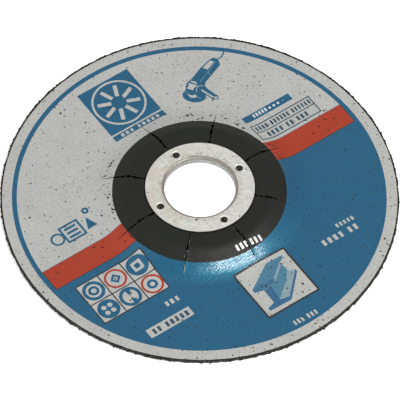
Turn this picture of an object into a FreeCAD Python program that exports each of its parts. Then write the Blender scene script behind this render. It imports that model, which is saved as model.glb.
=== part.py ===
import FreeCAD, Part
import os, math
import Sketcher

# Depressed-centre cut-off wheel, millimetres, +Z up.
# The wheel lies as it rests on a bench: flat rim annulus on Z = 0, raised hub up,
# printed side up.  The origin is the bore axis on the resting plane.
#
#   abrasive_body   bonded-grit disc with a cranked centre
#   centre_ring     stamped collar and neck that line the bore
#   paper_label     thin printed sheet bonded over the convex face

V = FreeCAD.Vector
doc = FreeCAD.newDocument("cutoff_wheel")

# ---------------------------------------------------------------- dimensions
sheet = doc.addObject("Spreadsheet::Sheet", "params")
cells = [
    ("A1", "disc_radius", "62.5"),         # outside radius, 125 mm wheel
    ("A2", "body_thick", "2.0"),           # bonded grit, rim and hub alike
    ("A3", "hub_raise", "4.6"),            # depth of the depressed centre
    ("A4", "hub_flat_radius", "21.8"),     # where the hub starts to bend down
    ("A5", "crank_end_radius", "35.2"),    # where the bend runs out into the rim
    ("A6", "bore_radius", "11.115"),       # 22.23 mm mounting hole
    ("A7", "ring_sheet", "0.35"),          # sheet of the collar and neck
    ("A8", "ring_radius", "17.25"),        # outside of the collar
    ("A9", "ring_bend", "0.4"),            # inside radius of the collar's bend
    ("A10", "ring_edge_round", "0.12"),    # stamped edge of the collar
    ("A11", "pin_hole_radius", "1.05"),    # four small punched holes
    ("A12", "pin_circle_radius", "14.42"),
    ("A13", "pin_start_angle", "32.4"),
    ("A14", "pin_edge_round", "0.2"),
    ("A15", "label_thick", "0.12"),
    ("A16", "label_radius", "61.9"),
    ("A17", "label_hole_radius", "12.5"),
    ("A18", "slit_inner_radius", "15.6"),  # hidden below the collar
    ("A19", "slit_mid_radius", "23.5"),
    ("A20", "slit_outer_radius", "31.9"),
    ("A21", "slit_half_width", "0.25"),
    ("A22", "slit_end_half_width", "0.05"),
    ("A23", "slit_start_angle", "36.4"),
    ("A24", "rim_low_round", "0.5"),       # worn moulding edge, underside
    ("A25", "rim_top_round", "0.15"),
    ("A26", "bore_chamfer", "0.3"),        # room for the collar's bend
    ("A27", "shoulder_mid", "5.0"),        # bend at the hub, radius at half thickness
    ("A28", "foot_mid", "11.6"),           # bend at the rim, radius at half thickness
]
for cell, alias, value in cells:
    sheet.set(cell, value)
    sheet.setAlias(cell, alias)
sheet.set("A31", "=bore_radius + ring_sheet")
sheet.setAlias("A31", "body_bore_radius")
doc.recompute()


def val(alias):
    return float(getattr(sheet, alias))


def plane_of(body, role):
    for feature in body.Origin.OriginFeatures:
        if feature.Role == role:
            return feature
    raise RuntimeError("no origin feature " + role)


def new_body(label):
    body = doc.addObject("PartDesign::Body", label)
    body.Label = label
    return body


def new_sketch(body, name, role):
    sk = body.newObject("Sketcher::SketchObject", name)
    sk.AttachmentSupport = [(plane_of(body, role), "")]
    sk.MapMode = "FlatFace"
    return sk


def dim(sk, kind, args, expression, start):
    """Add a driving dimension and bind it to the sheet."""
    index = sk.addConstraint(Sketcher.Constraint(kind, *args, start))
    sk.setExpression("Constraints[%d]" % index, expression)
    return index


def line(sk, p, q):
    return sk.addGeometry(Part.LineSegment(V(p[0], p[1], 0), V(q[0], q[1], 0)), False)


def arc(sk, centre, radius, start_deg, end_deg):
    circle = Part.Circle(V(centre[0], centre[1], 0), V(0, 0, 1), radius)
    return sk.addGeometry(
        Part.ArcOfCircle(circle, math.radians(start_deg), math.radians(end_deg)), False)


def cranked_section(sk, inner, outer, low, thick, raise_, r0, r1, shoulder, foot,
                    e_inner, e_outer, e_low, e_thick, e_shoulder, e_foot):
    """Closed section of a layer that is flat on the hub, slopes down and is flat on the rim.

    low       height of the layer's underside on the rim
    shoulder  radius of the underside's bend at the hub
    foot      radius of the underside's bend at the rim
    A straight flank joins the two bends.  The e_ arguments are the sheet expressions of
    the same sizes.
    """
    both = shoulder + foot
    run = r1 - r0
    length = math.sqrt(run * run + raise_ * raise_ - 2 * both * raise_)
    turn = math.degrees(math.atan2(raise_ - both, run) + math.atan2(both, length))
    c1 = (r0, low + raise_ - shoulder)
    c2 = (r1, low + foot)
    top = low + thick
    si, co = math.sin(math.radians(turn)), math.cos(math.radians(turn))

    def on_shoulder(radius):
        return (c1[0] + radius * si, c1[1] + radius * co)

    def on_foot(radius):
        return (c2[0] - radius * si, c2[1] - radius * co)

    g0 = line(sk, (inner, low + raise_), (r0, low + raise_))
    g1 = arc(sk, c1, shoulder, 90 - turn, 90)
    g2 = line(sk, on_shoulder(shoulder), on_foot(foot))
    g3 = arc(sk, c2, foot, 270 - turn, 270)
    g4 = line(sk, (r1, low), (outer, low))
    g5 = line(sk, (outer, low), (outer, top))
    g6 = line(sk, (outer, top), (r1, top))
    g7 = arc(sk, c2, foot - thick, 270 - turn, 270)
    g8 = line(sk, on_foot(foot - thick), on_shoulder(shoulder + thick))
    g9 = arc(sk, c1, shoulder + thick, 90 - turn, 90)
    g10 = line(sk, (r0, top + raise_), (inner, top + raise_))
    g11 = line(sk, (inner, top + raise_), (inner, low + raise_))

    C = Sketcher.Constraint
    # corners
    for a, pa, b, pb in ((g4, 2, g5, 1), (g5, 2, g6, 1), (g10, 2, g11, 1), (g11, 2, g0, 1)):
        sk.addConstraint(C("Coincident", a, pa, b, pb))
    # smooth joins (end-to-end tangency)
    for a, pa, b, pb in ((g0, 2, g1, 2), (g1, 1, g2, 1), (g2, 2, g3, 1), (g3, 2, g4, 1),
                         (g6, 2, g7, 2), (g7, 1, g8, 1), (g8, 2, g9, 1), (g9, 2, g10, 1)):
        sk.addConstraint(C("Tangent", a, pa, b, pb))
    for g in (g0, g4, g6, g10):
        sk.addConstraint(C("Horizontal", g))
    for g in (g5, g11):
        sk.addConstraint(C("Vertical", g))
    # both faces of the layer bend about the same centres and their flanks are parallel
    sk.addConstraint(C("Coincident", g1, 3, g9, 3))
    sk.addConstraint(C("Coincident", g3, 3, g7, 3))
    sk.addConstraint(C("Parallel", g2, g8))
    # sizes
    dim(sk, "DistanceX", (-1, 1, g11, 1), e_inner, inner)
    dim(sk, "DistanceX", (-1, 1, g5, 1), e_outer, outer)
    dim(sk, "DistanceX", (-1, 1, g1, 3), "params.hub_flat_radius", r0)
    dim(sk, "DistanceX", (-1, 1, g3, 3), "params.crank_end_radius", r1)
    if e_low is None:
        sk.addConstraint(C("PointOnObject", g4, 2, -1))
    else:
        dim(sk, "DistanceY", (-1, 1, g4, 2), e_low, low)
    dim(sk, "DistanceY", (g5, 1, g5, 2), e_thick, thick)
    dim(sk, "DistanceY", (g4, 2, g0, 1), "params.hub_raise", raise_)
    dim(sk, "Radius", (g1,), e_shoulder, shoulder)
    dim(sk, "Radius", (g3,), e_foot, foot)


def revolve(body, name, sk):
    rev = body.newObject("PartDesign::Revolution", name)
    rev.Profile = sk
    rev.ReferenceAxis = (sk, ["V_Axis"])
    rev.Angle = 360.0
    rev.Midplane = False
    rev.Reversed = False
    sk.Visibility = False
    return rev


def circle_edges(shape, wanted):
    """Names of the circular edges that match (radius, height, distance of centre from the axis)."""
    names = []
    for index, edge in enumerate(shape.Edges, 1):
        curve = edge.Curve
        if not isinstance(curve, Part.Circle):
            continue
        centre = curve.Center
        away = math.hypot(centre.x, centre.y)
        for radius, height, offset in wanted:
            if (abs(curve.Radius - radius) < 1e-4 and abs(centre.z - height) < 1e-4
                    and abs(away - offset) < 1e-4):
                names.append("Edge%d" % index)
    return names


def pocket_and_pattern(body, sk, name, count, solid, probe):
    """Cut a sketch through the whole piece and repeat the cut about the wheel's axis.

    probe  a point in the first cut that was in the material before
    """
    before = solid.Volume
    cut = body.newObject("PartDesign::Pocket", name)
    cut.Profile = sk
    cut.Type = "ThroughAll"
    cut.Midplane = True
    sk.Visibility = False
    doc.recompute()
    if before - cut.Shape.Volume <= 0:
        raise RuntimeError(name + " cuts nothing")
    pattern = body.newObject("PartDesign::PolarPattern", name + "_ring")
    pattern.Originals = [cut]
    pattern.Axis = (plane_of(body, "Z_Axis"), [""])
    pattern.Angle = 360
    pattern.Occurrences = count
    body.Tip = pattern
    doc.recompute()
    # each place of the ring was material and is open now, and half way between stays material
    for k in range(count):
        for half, was, now in ((0.0, True, False), (0.5, True, True)):
            at = FreeCAD.Rotation(V(0, 0, 1), 360.0 * (k + half) / count).multVec(probe)
            if (solid.isInside(at, 1e-4, False) != was
                    or pattern.Shape.isInside(at, 1e-4, False) != now):
                raise RuntimeError("%s: cut %d of %d is not as drawn" % (name, k, count))
    print("%s: %d cuts take %.3f mm3" % (name, count, before - pattern.Shape.Volume))
    return pattern


def polar(radius, degrees, height):
    a = math.radians(degrees)
    return V(radius * math.cos(a), radius * math.sin(a), height)


thick = val("body_thick")
raise_h = val("hub_raise")
r0, r1 = val("hub_flat_radius"), val("crank_end_radius")
shoulder, foot = val("shoulder_mid"), val("foot_mid")
paper = val("label_thick")
steel = val("ring_sheet")

# ---------------------------------------------------------------- bonded-grit disc
body = new_body("abrasive_body")
sk = new_sketch(body, "body_section", "XZ_Plane")
cranked_section(sk, val("body_bore_radius"), val("disc_radius"), 0.0, thick, raise_h,
                r0, r1, shoulder - thick / 2, foot + thick / 2,
                "params.body_bore_radius", "params.disc_radius", None, "params.body_thick",
                "params.shoulder_mid - params.body_thick / 2",
                "params.foot_mid + params.body_thick / 2")
rev = revolve(body, "body_turn", sk)
doc.recompute()
# the moulding's lower rim edge is rounded off, its upper one a little
low_edges = circle_edges(rev.Shape, [(val("disc_radius"), 0.0, 0.0)])
low_round = body.newObject("PartDesign::Fillet", "rim_low_edge")
low_round.Base = (rev, low_edges)
low_round.setExpression("Radius", "params.rim_low_round")
doc.recompute()
top_edges = circle_edges(low_round.Shape, [(val("disc_radius"), thick, 0.0)])
top_round = body.newObject("PartDesign::Fillet", "rim_top_edge")
top_round.Base = (low_round, top_edges)
top_round.setExpression("Radius", "params.rim_top_round")
doc.recompute()
# the hole's upper edge is broken where the collar bends over it
bore_edges = circle_edges(top_round.Shape, [(val("body_bore_radius"), thick + raise_h, 0.0)])
bore_cut = body.newObject("PartDesign::Chamfer", "bore_edge")
bore_cut.Base = (top_round, bore_edges)
bore_cut.setExpression("Size", "params.bore_chamfer")
doc.recompute()
body.Tip = bore_cut
print("edges", low_edges, top_edges, bore_edges)

# ---------------------------------------------------------------- printed sheet
label = new_body("paper_label")
sk = new_sketch(label, "label_section", "XZ_Plane")
cranked_section(sk, val("label_hole_radius"), val("label_radius"), thick, paper, raise_h,
                r0, r1, shoulder + thick / 2, foot - thick / 2,
                "params.label_hole_radius", "params.label_radius", "params.body_thick",
                "params.label_thick", "params.shoulder_mid + params.body_thick / 2",
                "params.foot_mid - params.body_thick / 2")
lrev = revolve(label, "label_turn", sk)
doc.recompute()

# eight radial slits, widest half way down the crank, pointed at both ends
sk = new_sketch(label, "slit_outline", "XY_Plane")
sk.AttachmentOffset = FreeCAD.Placement(
    V(0, 0, 0), FreeCAD.Rotation(V(0, 0, 1), val("slit_start_angle")))
sk.setExpression("AttachmentOffset.Rotation.Angle", "params.slit_start_angle")
ri, rm, ro = val("slit_inner_radius"), val("slit_mid_radius"), val("slit_outer_radius")
hw, he = val("slit_half_width"), val("slit_end_half_width")
pts = [(ri, -he), (rm, -hw), (ro, -he), (ro, he), (rm, hw), (ri, he)]
gs = [line(sk, pts[i], pts[(i + 1) % 6]) for i in range(6)]
for i in range(6):
    sk.addConstraint(Sketcher.Constraint("Coincident", gs[i], 2, gs[(i + 1) % 6], 1))
# mirror halves about the slit's own centre line (the sketch's X axis)
sk.addConstraint(Sketcher.Constraint("Symmetric", gs[0], 1, gs[5], 1, -1))
sk.addConstraint(Sketcher.Constraint("Symmetric", gs[0], 2, gs[4], 1, -1))
sk.addConstraint(Sketcher.Constraint("Symmetric", gs[1], 2, gs[3], 1, -1))
dim(sk, "DistanceX", (-1, 1, gs[3], 1), "params.slit_outer_radius", ro)
dim(sk, "DistanceX", (-1, 1, gs[4], 1), "params.slit_mid_radius", rm)
dim(sk, "DistanceX", (-1, 1, gs[5], 1), "params.slit_inner_radius", ri)
dim(sk, "DistanceY", (gs[2], 1, gs[2], 2), "2 * params.slit_end_half_width", 2 * he)
dim(sk, "DistanceY", (gs[5], 2, gs[5], 1), "2 * params.slit_end_half_width", 2 * he)
dim(sk, "DistanceY", (gs[0], 2, gs[4], 1), "2 * params.slit_half_width", 2 * hw)
on_hub = thick + raise_h + paper / 2
pat = pocket_and_pattern(label, sk, "slit", 8, lrev.Shape,
                         polar((ri + val("hub_flat_radius")) / 2,
                               val("slit_start_angle"), on_hub))

# the four small holes of the collar go on through the sheet
sk = new_sketch(label, "label_pin_hole", "XY_Plane")
sk.AttachmentOffset = FreeCAD.Placement(
    V(0, 0, 0), FreeCAD.Rotation(V(0, 0, 1), val("pin_start_angle")))
sk.setExpression("AttachmentOffset.Rotation.Angle", "params.pin_start_angle")
g = sk.addGeometry(Part.Circle(V(val("pin_circle_radius"), 0, 0), V(0, 0, 1),
                               val("pin_hole_radius")), False)
sk.addConstraint(Sketcher.Constraint("PointOnObject", g, 3, -1))
dim(sk, "DistanceX", (-1, 1, g, 3), "params.pin_circle_radius", val("pin_circle_radius"))
dim(sk, "Radius", (g,), "params.pin_hole_radius", val("pin_hole_radius"))
pat = pocket_and_pattern(label, sk, "label_pin", 4, pat.Shape,
                         polar(val("pin_circle_radius"), val("pin_start_angle"), on_hub))

# ---------------------------------------------------------------- stamped collar and neck
ring = new_body("centre_ring")
sk = new_sketch(ring, "ring_section", "XZ_Plane")
bore, rf, bend = val("bore_radius"), val("ring_radius"), val("ring_bend")
seat = thick + raise_h + paper          # the collar lies on the sheet
roof = seat + steel
cx, cz = bore + steel + bend, seat - bend
g0 = line(sk, (bore, raise_h), (bore, cz))
g1 = arc(sk, (cx, cz), steel + bend, 90, 180)
g2 = line(sk, (cx, roof), (rf, roof))
g3 = line(sk, (rf, roof), (rf, seat))
g4 = line(sk, (rf, seat), (cx, seat))
g5 = arc(sk, (cx, cz), bend, 90, 180)
g6 = line(sk, (bore + steel, cz), (bore + steel, raise_h))
g7 = line(sk, (bore + steel, raise_h), (bore, raise_h))
C = Sketcher.Constraint
for a, pa, b, pb in ((g2, 2, g3, 1), (g3, 2, g4, 1), (g6, 2, g7, 1), (g7, 2, g0, 1)):
    sk.addConstraint(C("Coincident", a, pa, b, pb))
for a, pa, b, pb in ((g0, 2, g1, 2), (g1, 1, g2, 1), (g4, 2, g5, 1), (g5, 2, g6, 1)):
    sk.addConstraint(C("Tangent", a, pa, b, pb))
for g in (g2, g4, g7):
    sk.addConstraint(C("Horizontal", g))
for g in (g0, g3, g6):
    sk.addConstraint(C("Vertical", g))
sk.addConstraint(C("Coincident", g1, 3, g5, 3))
dim(sk, "DistanceX", (-1, 1, g0, 1), "params.bore_radius", bore)
dim(sk, "DistanceX", (-1, 1, g3, 1), "params.ring_radius", rf)
dim(sk, "DistanceY", (-1, 1, g0, 1), "params.hub_raise", raise_h)
dim(sk, "DistanceY", (-1, 1, g3, 2),
    "params.body_thick + params.hub_raise + params.label_thick", seat)
dim(sk, "DistanceY", (g3, 2, g3, 1), "params.ring_sheet", steel)
dim(sk, "Radius", (g5,), "params.ring_bend", bend)
rrev = revolve(ring, "ring_turn", sk)
doc.recompute()

sk = new_sketch(ring, "pin_hole", "XY_Plane")
sk.AttachmentOffset = FreeCAD.Placement(
    V(0, 0, 0), FreeCAD.Rotation(V(0, 0, 1), val("pin_start_angle")))
sk.setExpression("AttachmentOffset.Rotation.Angle", "params.pin_start_angle")
g = sk.addGeometry(Part.Circle(V(val("pin_circle_radius"), 0, 0), V(0, 0, 1),
                               val("pin_hole_radius")), False)
sk.addConstraint(Sketcher.Constraint("PointOnObject", g, 3, -1))
dim(sk, "DistanceX", (-1, 1, g, 3), "params.pin_circle_radius", val("pin_circle_radius"))
dim(sk, "Radius", (g,), "params.pin_hole_radius", val("pin_hole_radius"))
rpat = pocket_and_pattern(ring, sk, "pin", 4, rrev.Shape,
                          polar(val("pin_circle_radius"), val("pin_start_angle"),
                                seat + steel / 2))

# drawn-in edges of the punched holes, and the collar's stamped outer edge
names = circle_edges(rpat.Shape, [(val("pin_hole_radius"), roof, val("pin_circle_radius"))])
holes_round = ring.newObject("PartDesign::Fillet", "pin_edge")
holes_round.Base = (rpat, names)
holes_round.setExpression("Radius", "params.pin_edge_round")
doc.recompute()
names2 = circle_edges(holes_round.Shape, [(rf, roof, 0.0)])
edge_round = ring.newObject("PartDesign::Fillet", "collar_edge")
edge_round.Base = (holes_round, names2)
edge_round.setExpression("Radius", "params.ring_edge_round")
ring.Tip = edge_round
doc.recompute()
print("ring edges", names, names2)

# ---------------------------------------------------------------- checks and files
for node in (body, label, ring):
    node.Placement = FreeCAD.Placement(V(0, 0, 0), FreeCAD.Rotation())
doc.recompute()
for obj in doc.Objects:
    state = list(getattr(obj, "State", []))
    if "Invalid" in state or "Error" in state:
        raise RuntimeError("%s is %s" % (obj.Name, state))
    if obj.TypeId == "Sketcher::SketchObject":
        print("sketch", obj.Name, "fully constrained:", obj.FullyConstrained)
os.makedirs("parts", exist_ok=True)
for node in (body, label, ring):
    shape = node.Shape
    if shape.isNull() or not shape.isValid():
        raise RuntimeError("%s has no valid shape" % node.Label)
    box = shape.BoundBox
    print("%s solids %d volume %.2f box %.3f %.3f %.3f / %.3f %.3f %.3f" % (
        node.Label, len(shape.Solids), shape.Volume,
        box.XMin, box.YMin, box.ZMin, box.XMax, box.YMax, box.ZMax))
    shape.exportStep("parts/%s.step" % node.Label)
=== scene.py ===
import math
import random

import bpy
import numpy as np
from mathutils import Matrix, Vector, noise
from mathutils.geometry import delaunay_2d_cdt


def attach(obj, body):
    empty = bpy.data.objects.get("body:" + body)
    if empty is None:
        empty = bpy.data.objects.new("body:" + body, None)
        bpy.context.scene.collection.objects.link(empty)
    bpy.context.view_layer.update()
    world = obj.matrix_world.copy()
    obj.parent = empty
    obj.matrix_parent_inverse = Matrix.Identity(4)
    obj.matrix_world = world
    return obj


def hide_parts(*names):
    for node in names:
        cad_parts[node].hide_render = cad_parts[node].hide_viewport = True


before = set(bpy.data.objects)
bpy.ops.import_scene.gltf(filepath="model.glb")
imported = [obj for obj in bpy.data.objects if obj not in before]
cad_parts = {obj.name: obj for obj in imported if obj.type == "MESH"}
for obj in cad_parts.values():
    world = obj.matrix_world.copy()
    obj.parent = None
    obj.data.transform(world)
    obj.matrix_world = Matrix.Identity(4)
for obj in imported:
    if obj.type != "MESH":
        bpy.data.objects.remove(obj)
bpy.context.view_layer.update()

MM = 0.001
TAU = 2 * math.pi

# ------------------------------------------------------------------ sizes, mm
# the same driving sizes as the construction model
RIM_EDGE = 62.5
THICK = 2.0
RAISE = 4.6
HUB_FLAT = 21.8
CRANK_END = 35.2
SHOULDER = 5.0
FOOT = 11.6
BORE = 11.115
STEEL = 0.35
RING_OUT = 17.25
RING_BEND = 0.4
PAPER = 0.12
LABEL_R = 61.9
LABEL_HOLE = 12.5
PIN_R = 1.05
PIN_PITCH = 14.42
PIN_START = 32.4

RUN = CRANK_END - HUB_FLAT
BOTH = SHOULDER + FOOT
FLANK = math.sqrt(RUN * RUN + RAISE * RAISE - 2 * BOTH * RAISE)
TURN = math.atan2(RAISE - BOTH, RUN) + math.atan2(BOTH, FLANK)
C1Z = THICK / 2 + RAISE - SHOULDER
C2Z = THICK / 2 + FOOT


def crank(r, off):
    """Height of the surface that lies `off` above the middle of the disc, at radius r."""
    r = np.asarray(r, float)
    a, b = SHOULDER + off, FOOT - off
    ra, rb = HUB_FLAT + a * math.sin(TURN), CRANK_END - b * math.sin(TURN)
    hub = C1Z + np.sqrt(np.maximum(a * a - np.clip(r - HUB_FLAT, 0, None) ** 2, 0))
    rim = C2Z - np.sqrt(np.maximum(b * b - np.clip(CRANK_END - r, 0, None) ** 2, 0))
    flank = C1Z + a * math.cos(TURN) - (r - ra) * math.tan(TURN)
    return np.where(r <= ra, hub, np.where(r < rb, flank, rim))


def grid_random(seed):
    return random.Random(seed)


# ------------------------------------------------------------------ materials
def lin(c):
    return tuple(((x / 255 + 0.055) / 1.055) ** 2.4 if x / 255 > 0.04045 else x / 255 / 12.92
                 for x in c)


LIT = 1.45      # how brightly the studio lights a level surface


def albedo(c, lit=LIT):
    return tuple(min(x / lit, 0.95) for x in lin(c))


class Tree:
    """Small helper to lay out shader nodes."""

    def __init__(self, name):
        self.mat = bpy.data.materials.new(name)
        self.mat.use_nodes = True
        self.nt = self.mat.node_tree
        self.nt.nodes.clear()
        self.out = self.nt.nodes.new("ShaderNodeOutputMaterial")
        self.bsdf = self.nt.nodes.new("ShaderNodeBsdfPrincipled")
        self.nt.links.new(self.bsdf.outputs[0], self.out.inputs[0])
        tc = self.nt.nodes.new("ShaderNodeTexCoord")
        scale = self.nt.nodes.new("ShaderNodeVectorMath")
        scale.operation = "SCALE"
        scale.inputs["Scale"].default_value = 1000.0
        self.nt.links.new(tc.outputs["Object"], scale.inputs[0])
        self.mm = scale.outputs[0]          # position in millimetres
        sep = self.nt.nodes.new("ShaderNodeSeparateXYZ")
        self.nt.links.new(self.mm, sep.inputs[0])
        self.x, self.y, self.z = sep.outputs
        self._r = None

    def link(self, a, b):
        self.nt.links.new(a, b)

    def math(self, op, a, b=None, c=None, clamp=False):
        n = self.nt.nodes.new("ShaderNodeMath")
        n.operation = op
        n.use_clamp = clamp
        for i, v in enumerate((a, b, c)):
            if v is None:
                continue
            if isinstance(v, (int, float)):
                n.inputs[i].default_value = v
            else:
                self.link(v, n.inputs[i])
        return n.outputs[0]

    @property
    def r(self):
        if self._r is None:
            self._r = self.math("SQRT", self.math("ADD", self.math("MULTIPLY", self.x, self.x),
                                                  self.math("MULTIPLY", self.y, self.y)))
        return self._r

    def noise(self, scale, detail=3.0, rough=0.55, vector=None, distortion=0.0):
        n = self.nt.nodes.new("ShaderNodeTexNoise")
        n.inputs["Scale"].default_value = scale
        n.inputs["Detail"].default_value = detail
        n.inputs["Roughness"].default_value = rough
        n.inputs["Distortion"].default_value = distortion
        self.link(vector or self.mm, n.inputs["Vector"])
        return n.outputs[0]

    def offset(self, v, scale=(1, 1, 1)):
        n = self.nt.nodes.new("ShaderNodeMapping")
        n.inputs["Location"].default_value = v
        n.inputs["Scale"].default_value = scale
        self.link(self.mm, n.inputs["Vector"])
        return n.outputs[0]

    def voronoi(self, scale, feature="F1", vector=None, rand=1.0):
        n = self.nt.nodes.new("ShaderNodeTexVoronoi")
        n.feature = feature
        n.inputs["Scale"].default_value = scale
        n.inputs["Randomness"].default_value = rand
        self.link(vector or self.mm, n.inputs["Vector"])
        return n

    def ramp(self, fac, stops, interpolation="LINEAR"):
        n = self.nt.nodes.new("ShaderNodeValToRGB")
        n.color_ramp.interpolation = interpolation
        e = n.color_ramp.elements
        while len(e) > 1:
            e.remove(e[-1])
        for i, (p, c) in enumerate(stops):
            col = (c, c, c, 1) if isinstance(c, (int, float)) else (*c[:3], 1)
            if i == 0:
                e[0].position, e[0].color = p, col
            else:
                k = e.new(p)
                k.color = col
        self.link(fac, n.inputs[0])
        return n.outputs[0]

    def map(self, v, a, b, c=0.0, d=1.0, smooth=True):
        n = self.nt.nodes.new("ShaderNodeMapRange")
        n.interpolation_type = "SMOOTHSTEP" if smooth else "LINEAR"
        n.inputs["From Min"].default_value = a
        n.inputs["From Max"].default_value = b
        n.inputs["To Min"].default_value = c
        n.inputs["To Max"].default_value = d
        self.link(v, n.inputs["Value"])
        return n.outputs[0]

    def mix(self, fac, a, b, blend="MIX"):
        n = self.nt.nodes.new("ShaderNodeMix")
        n.data_type = "RGBA"
        n.blend_type = blend
        n.clamp_result = False
        ia, ib = n.inputs["A"], n.inputs["B"]
        ia, ib = n.inputs[6], n.inputs[7]
        if isinstance(fac, (int, float)):
            n.inputs[0].default_value = fac
        else:
            self.link(fac, n.inputs[0])
        for s, v in ((ia, a), (ib, b)):
            if isinstance(v, tuple):
                s.default_value = (*v[:3], 1)
            else:
                self.link(v, s)
        return n.outputs[2]

    def bump(self, height, strength, distance, normal=None):
        n = self.nt.nodes.new("ShaderNodeBump")
        n.inputs["Strength"].default_value = strength
        n.inputs["Distance"].default_value = distance
        self.link(height, n.inputs["Height"])
        if normal is not None:
            self.link(normal, n.inputs["Normal"])
        return n.outputs[0]

    def set(self, name, value):
        s = self.bsdf.inputs[name]
        if isinstance(value, (int, float)):
            s.default_value = value
        elif isinstance(value, tuple):
            s.default_value = (*value[:3], 1) if len(s.default_value) == 4 else value
        else:
            self.link(value, s)


def ink(name, colour, speck=(30, 28, 27), speck_amount=1.0, mottle=0.07, gloss=0.27, level=0.5,
        tone=None, tint=(1, 1, 1), coat=0.0, coat_rough=0.2, fibre=0.0):
    """A printed colour on the coated paper: mottled, pricked by fine grit, satin."""
    t = Tree(name)
    base = albedo(colour)
    dark = tuple(x * (1 - 1.6 * mottle) for x in base)
    light = tuple(min(x * (1 + 1.1 * mottle), 0.95) for x in base)
    fine = t.noise(1.35, 4.0, 0.62)
    broad = t.noise(0.11, 2.0, 0.5, t.offset((13.1, 4.7, 2.2)))
    both = t.math("ADD", t.math("MULTIPLY", fine, 0.75), t.math("MULTIPLY", broad, 0.25))
    col = t.ramp(both, [(0.33, dark), (0.5, base), (0.67, light)])
    if tone is not None:
        col = t.mix(t.map(t.noise(0.35, 3.0, 0.6, t.offset((5, 9, 1))), 0.45, 0.7, 0.0, 0.55),
                    col, albedo(tone))
    # small grains that show through the sheet: two sizes of dot, most cells left empty
    for scale, big, keep, offs in ((0.62, 0.42, 0.60, (1.3, 7.9, 0.4)), (1.25, 0.40, 0.50, (8.2, 3.1, 5.5))):
        v = t.voronoi(scale, vector=t.offset(offs, (1, 1, 0.0)))
        sep = t.nt.nodes.new("ShaderNodeSeparateColor")
        t.link(v.outputs["Color"], sep.inputs[0])
        keep = 1 - (1 - keep) * speck_amount
        size = t.math("MULTIPLY", t.map(sep.outputs[0], keep, 1.0, 0.0, 1.0, False), big * 0.6)
        ragged = t.math("ADD", v.outputs["Distance"],
                        t.math("MULTIPLY", t.math("SUBTRACT", t.noise(5.0, 2.0), 0.5), 0.12))
        mask = t.math("LESS_THAN", ragged, size)
        fade = t.math("MULTIPLY", mask, t.map(sep.outputs[1], 0.0, 1.0, 0.35, 0.95, False))
        col = t.mix(fade, col, albedo(speck))
    t.set("Base Color", col)
    rough = t.map(fine, 0.3, 0.7, gloss - 0.05, gloss + 0.07)
    t.set("Roughness", rough)
    t.set("Specular IOR Level", level)
    t.bsdf.inputs["Specular Tint"].default_value = (*tint, 1)
    if coat:
        t.set("Coat Weight", coat)
        t.set("Coat IOR", 1.6)
        t.set("Coat Roughness", coat_rough)
    # the grain of the disc telegraphs through the sheet, and the sheet has its own fibre
    h1 = t.noise(0.9, 3.0, 0.6, t.offset((3, 3, 3)))
    h2 = t.noise(3.4, 3.0, 0.65, t.offset((7, 1, 2)))
    h = t.math("ADD", h1, t.math("MULTIPLY", h2, 0.32))
    if fibre:
        h = t.math("ADD", h, t.math("MULTIPLY", fibres(t), fibre))
    t.set("Normal", t.bump(h, 0.45, 0.00014))
    if coat:                       # the varnish on top evens out all but the longest ridges
        hc = t.math("ADD", t.math("MULTIPLY", fibres(t), 1.3), t.math("MULTIPLY", h2, 0.16))
        t.set("Coat Normal", t.bump(hc, 0.34, 0.00011))
    return t.mat


def fibres(t):
    """Long fine ridges that run across the sheet one way, as in machine-made paper."""
    turn = t.nt.nodes.new("ShaderNodeMapping")
    turn.vector_type = "TEXTURE"
    turn.inputs["Rotation"].default_value = (0, 0, math.radians(44))
    turn.inputs["Scale"].default_value = (3.6, 0.62, 1.0)
    t.link(t.mm, turn.inputs["Vector"])
    return t.noise(0.9, 3.0, 0.6, turn.outputs[0], 0.6)


INK = {
    "paper": ink("print_paper", (192, 193, 189), mottle=0.10),
    "blue": ink("print_blue", (30, 83, 119), speck=(20, 36, 50), speck_amount=0.8, mottle=0.08,
                tone=(20, 88, 131), tint=(0.10, 0.66, 0.82), gloss=0.40, level=0.95,
                coat=0.40, coat_rough=0.16, fibre=1.3),
    "red": ink("print_red", (176, 57, 26), speck=(80, 40, 35), speck_amount=0.6, mottle=0.06,
               gloss=0.4, level=0.4),
    "black": ink("print_black", (32, 34, 28), speck=(18, 18, 16), speck_amount=0.5, mottle=0.07,
                 gloss=0.48, level=0.22),
    "edge": ink("print_dark_edge", (52, 38, 46), mottle=0.05),
    "line": ink("print_line", (44, 76, 96), speck_amount=0.4, mottle=0.06),
    "frame": ink("print_frame", (38, 44, 50), speck_amount=0.3, mottle=0.05),
    "white": ink("print_white", (226, 228, 226), speck_amount=0.25, mottle=0.04),
    "steel_a": ink("print_steel_a", (74, 126, 154), speck=(28, 42, 55), mottle=0.06),
    "steel_b": ink("print_steel_b", (50, 104, 142), speck=(24, 40, 55), mottle=0.06),
    "steel_c": ink("print_steel_c", (140, 164, 172), speck=(40, 50, 56), mottle=0.06),
    "steel_d": ink("print_steel_d", (74, 132, 156), speck=(28, 42, 55), mottle=0.06),
    "steel_e": ink("print_steel_e", (58, 112, 144), speck=(24, 40, 55), mottle=0.06),
    "speck": ink("grit_showing", (34, 31, 29), speck_amount=0.2, mottle=0.15, gloss=0.6, level=0.15),
    "scuff": ink("worn_red", (112, 40, 28), speck_amount=0.3, mottle=0.14, gloss=0.5, level=0.2),
    # near-black ink for the ring round the collar: painted shadow of the collar's edge, with some grime
    "collar_shadow_seam": ink("collar_shadow_and_grime", (22, 17, 11), speck_amount=0.2, mottle=0.12, gloss=0.7, level=0.1),
    # near-black ink for the sheet's cut edges inside the gaps: painted shade in the slits
    "gap": ink("slit_wall_painted_shade", (10, 10, 9), speck_amount=0.2, mottle=0.1, gloss=0.85, level=0.04),
    "torn": ink("torn_paper", (150, 150, 146), speck_amount=0.4, mottle=0.12, gloss=0.6, level=0.2),
}
ORDER = list(INK)

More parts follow.
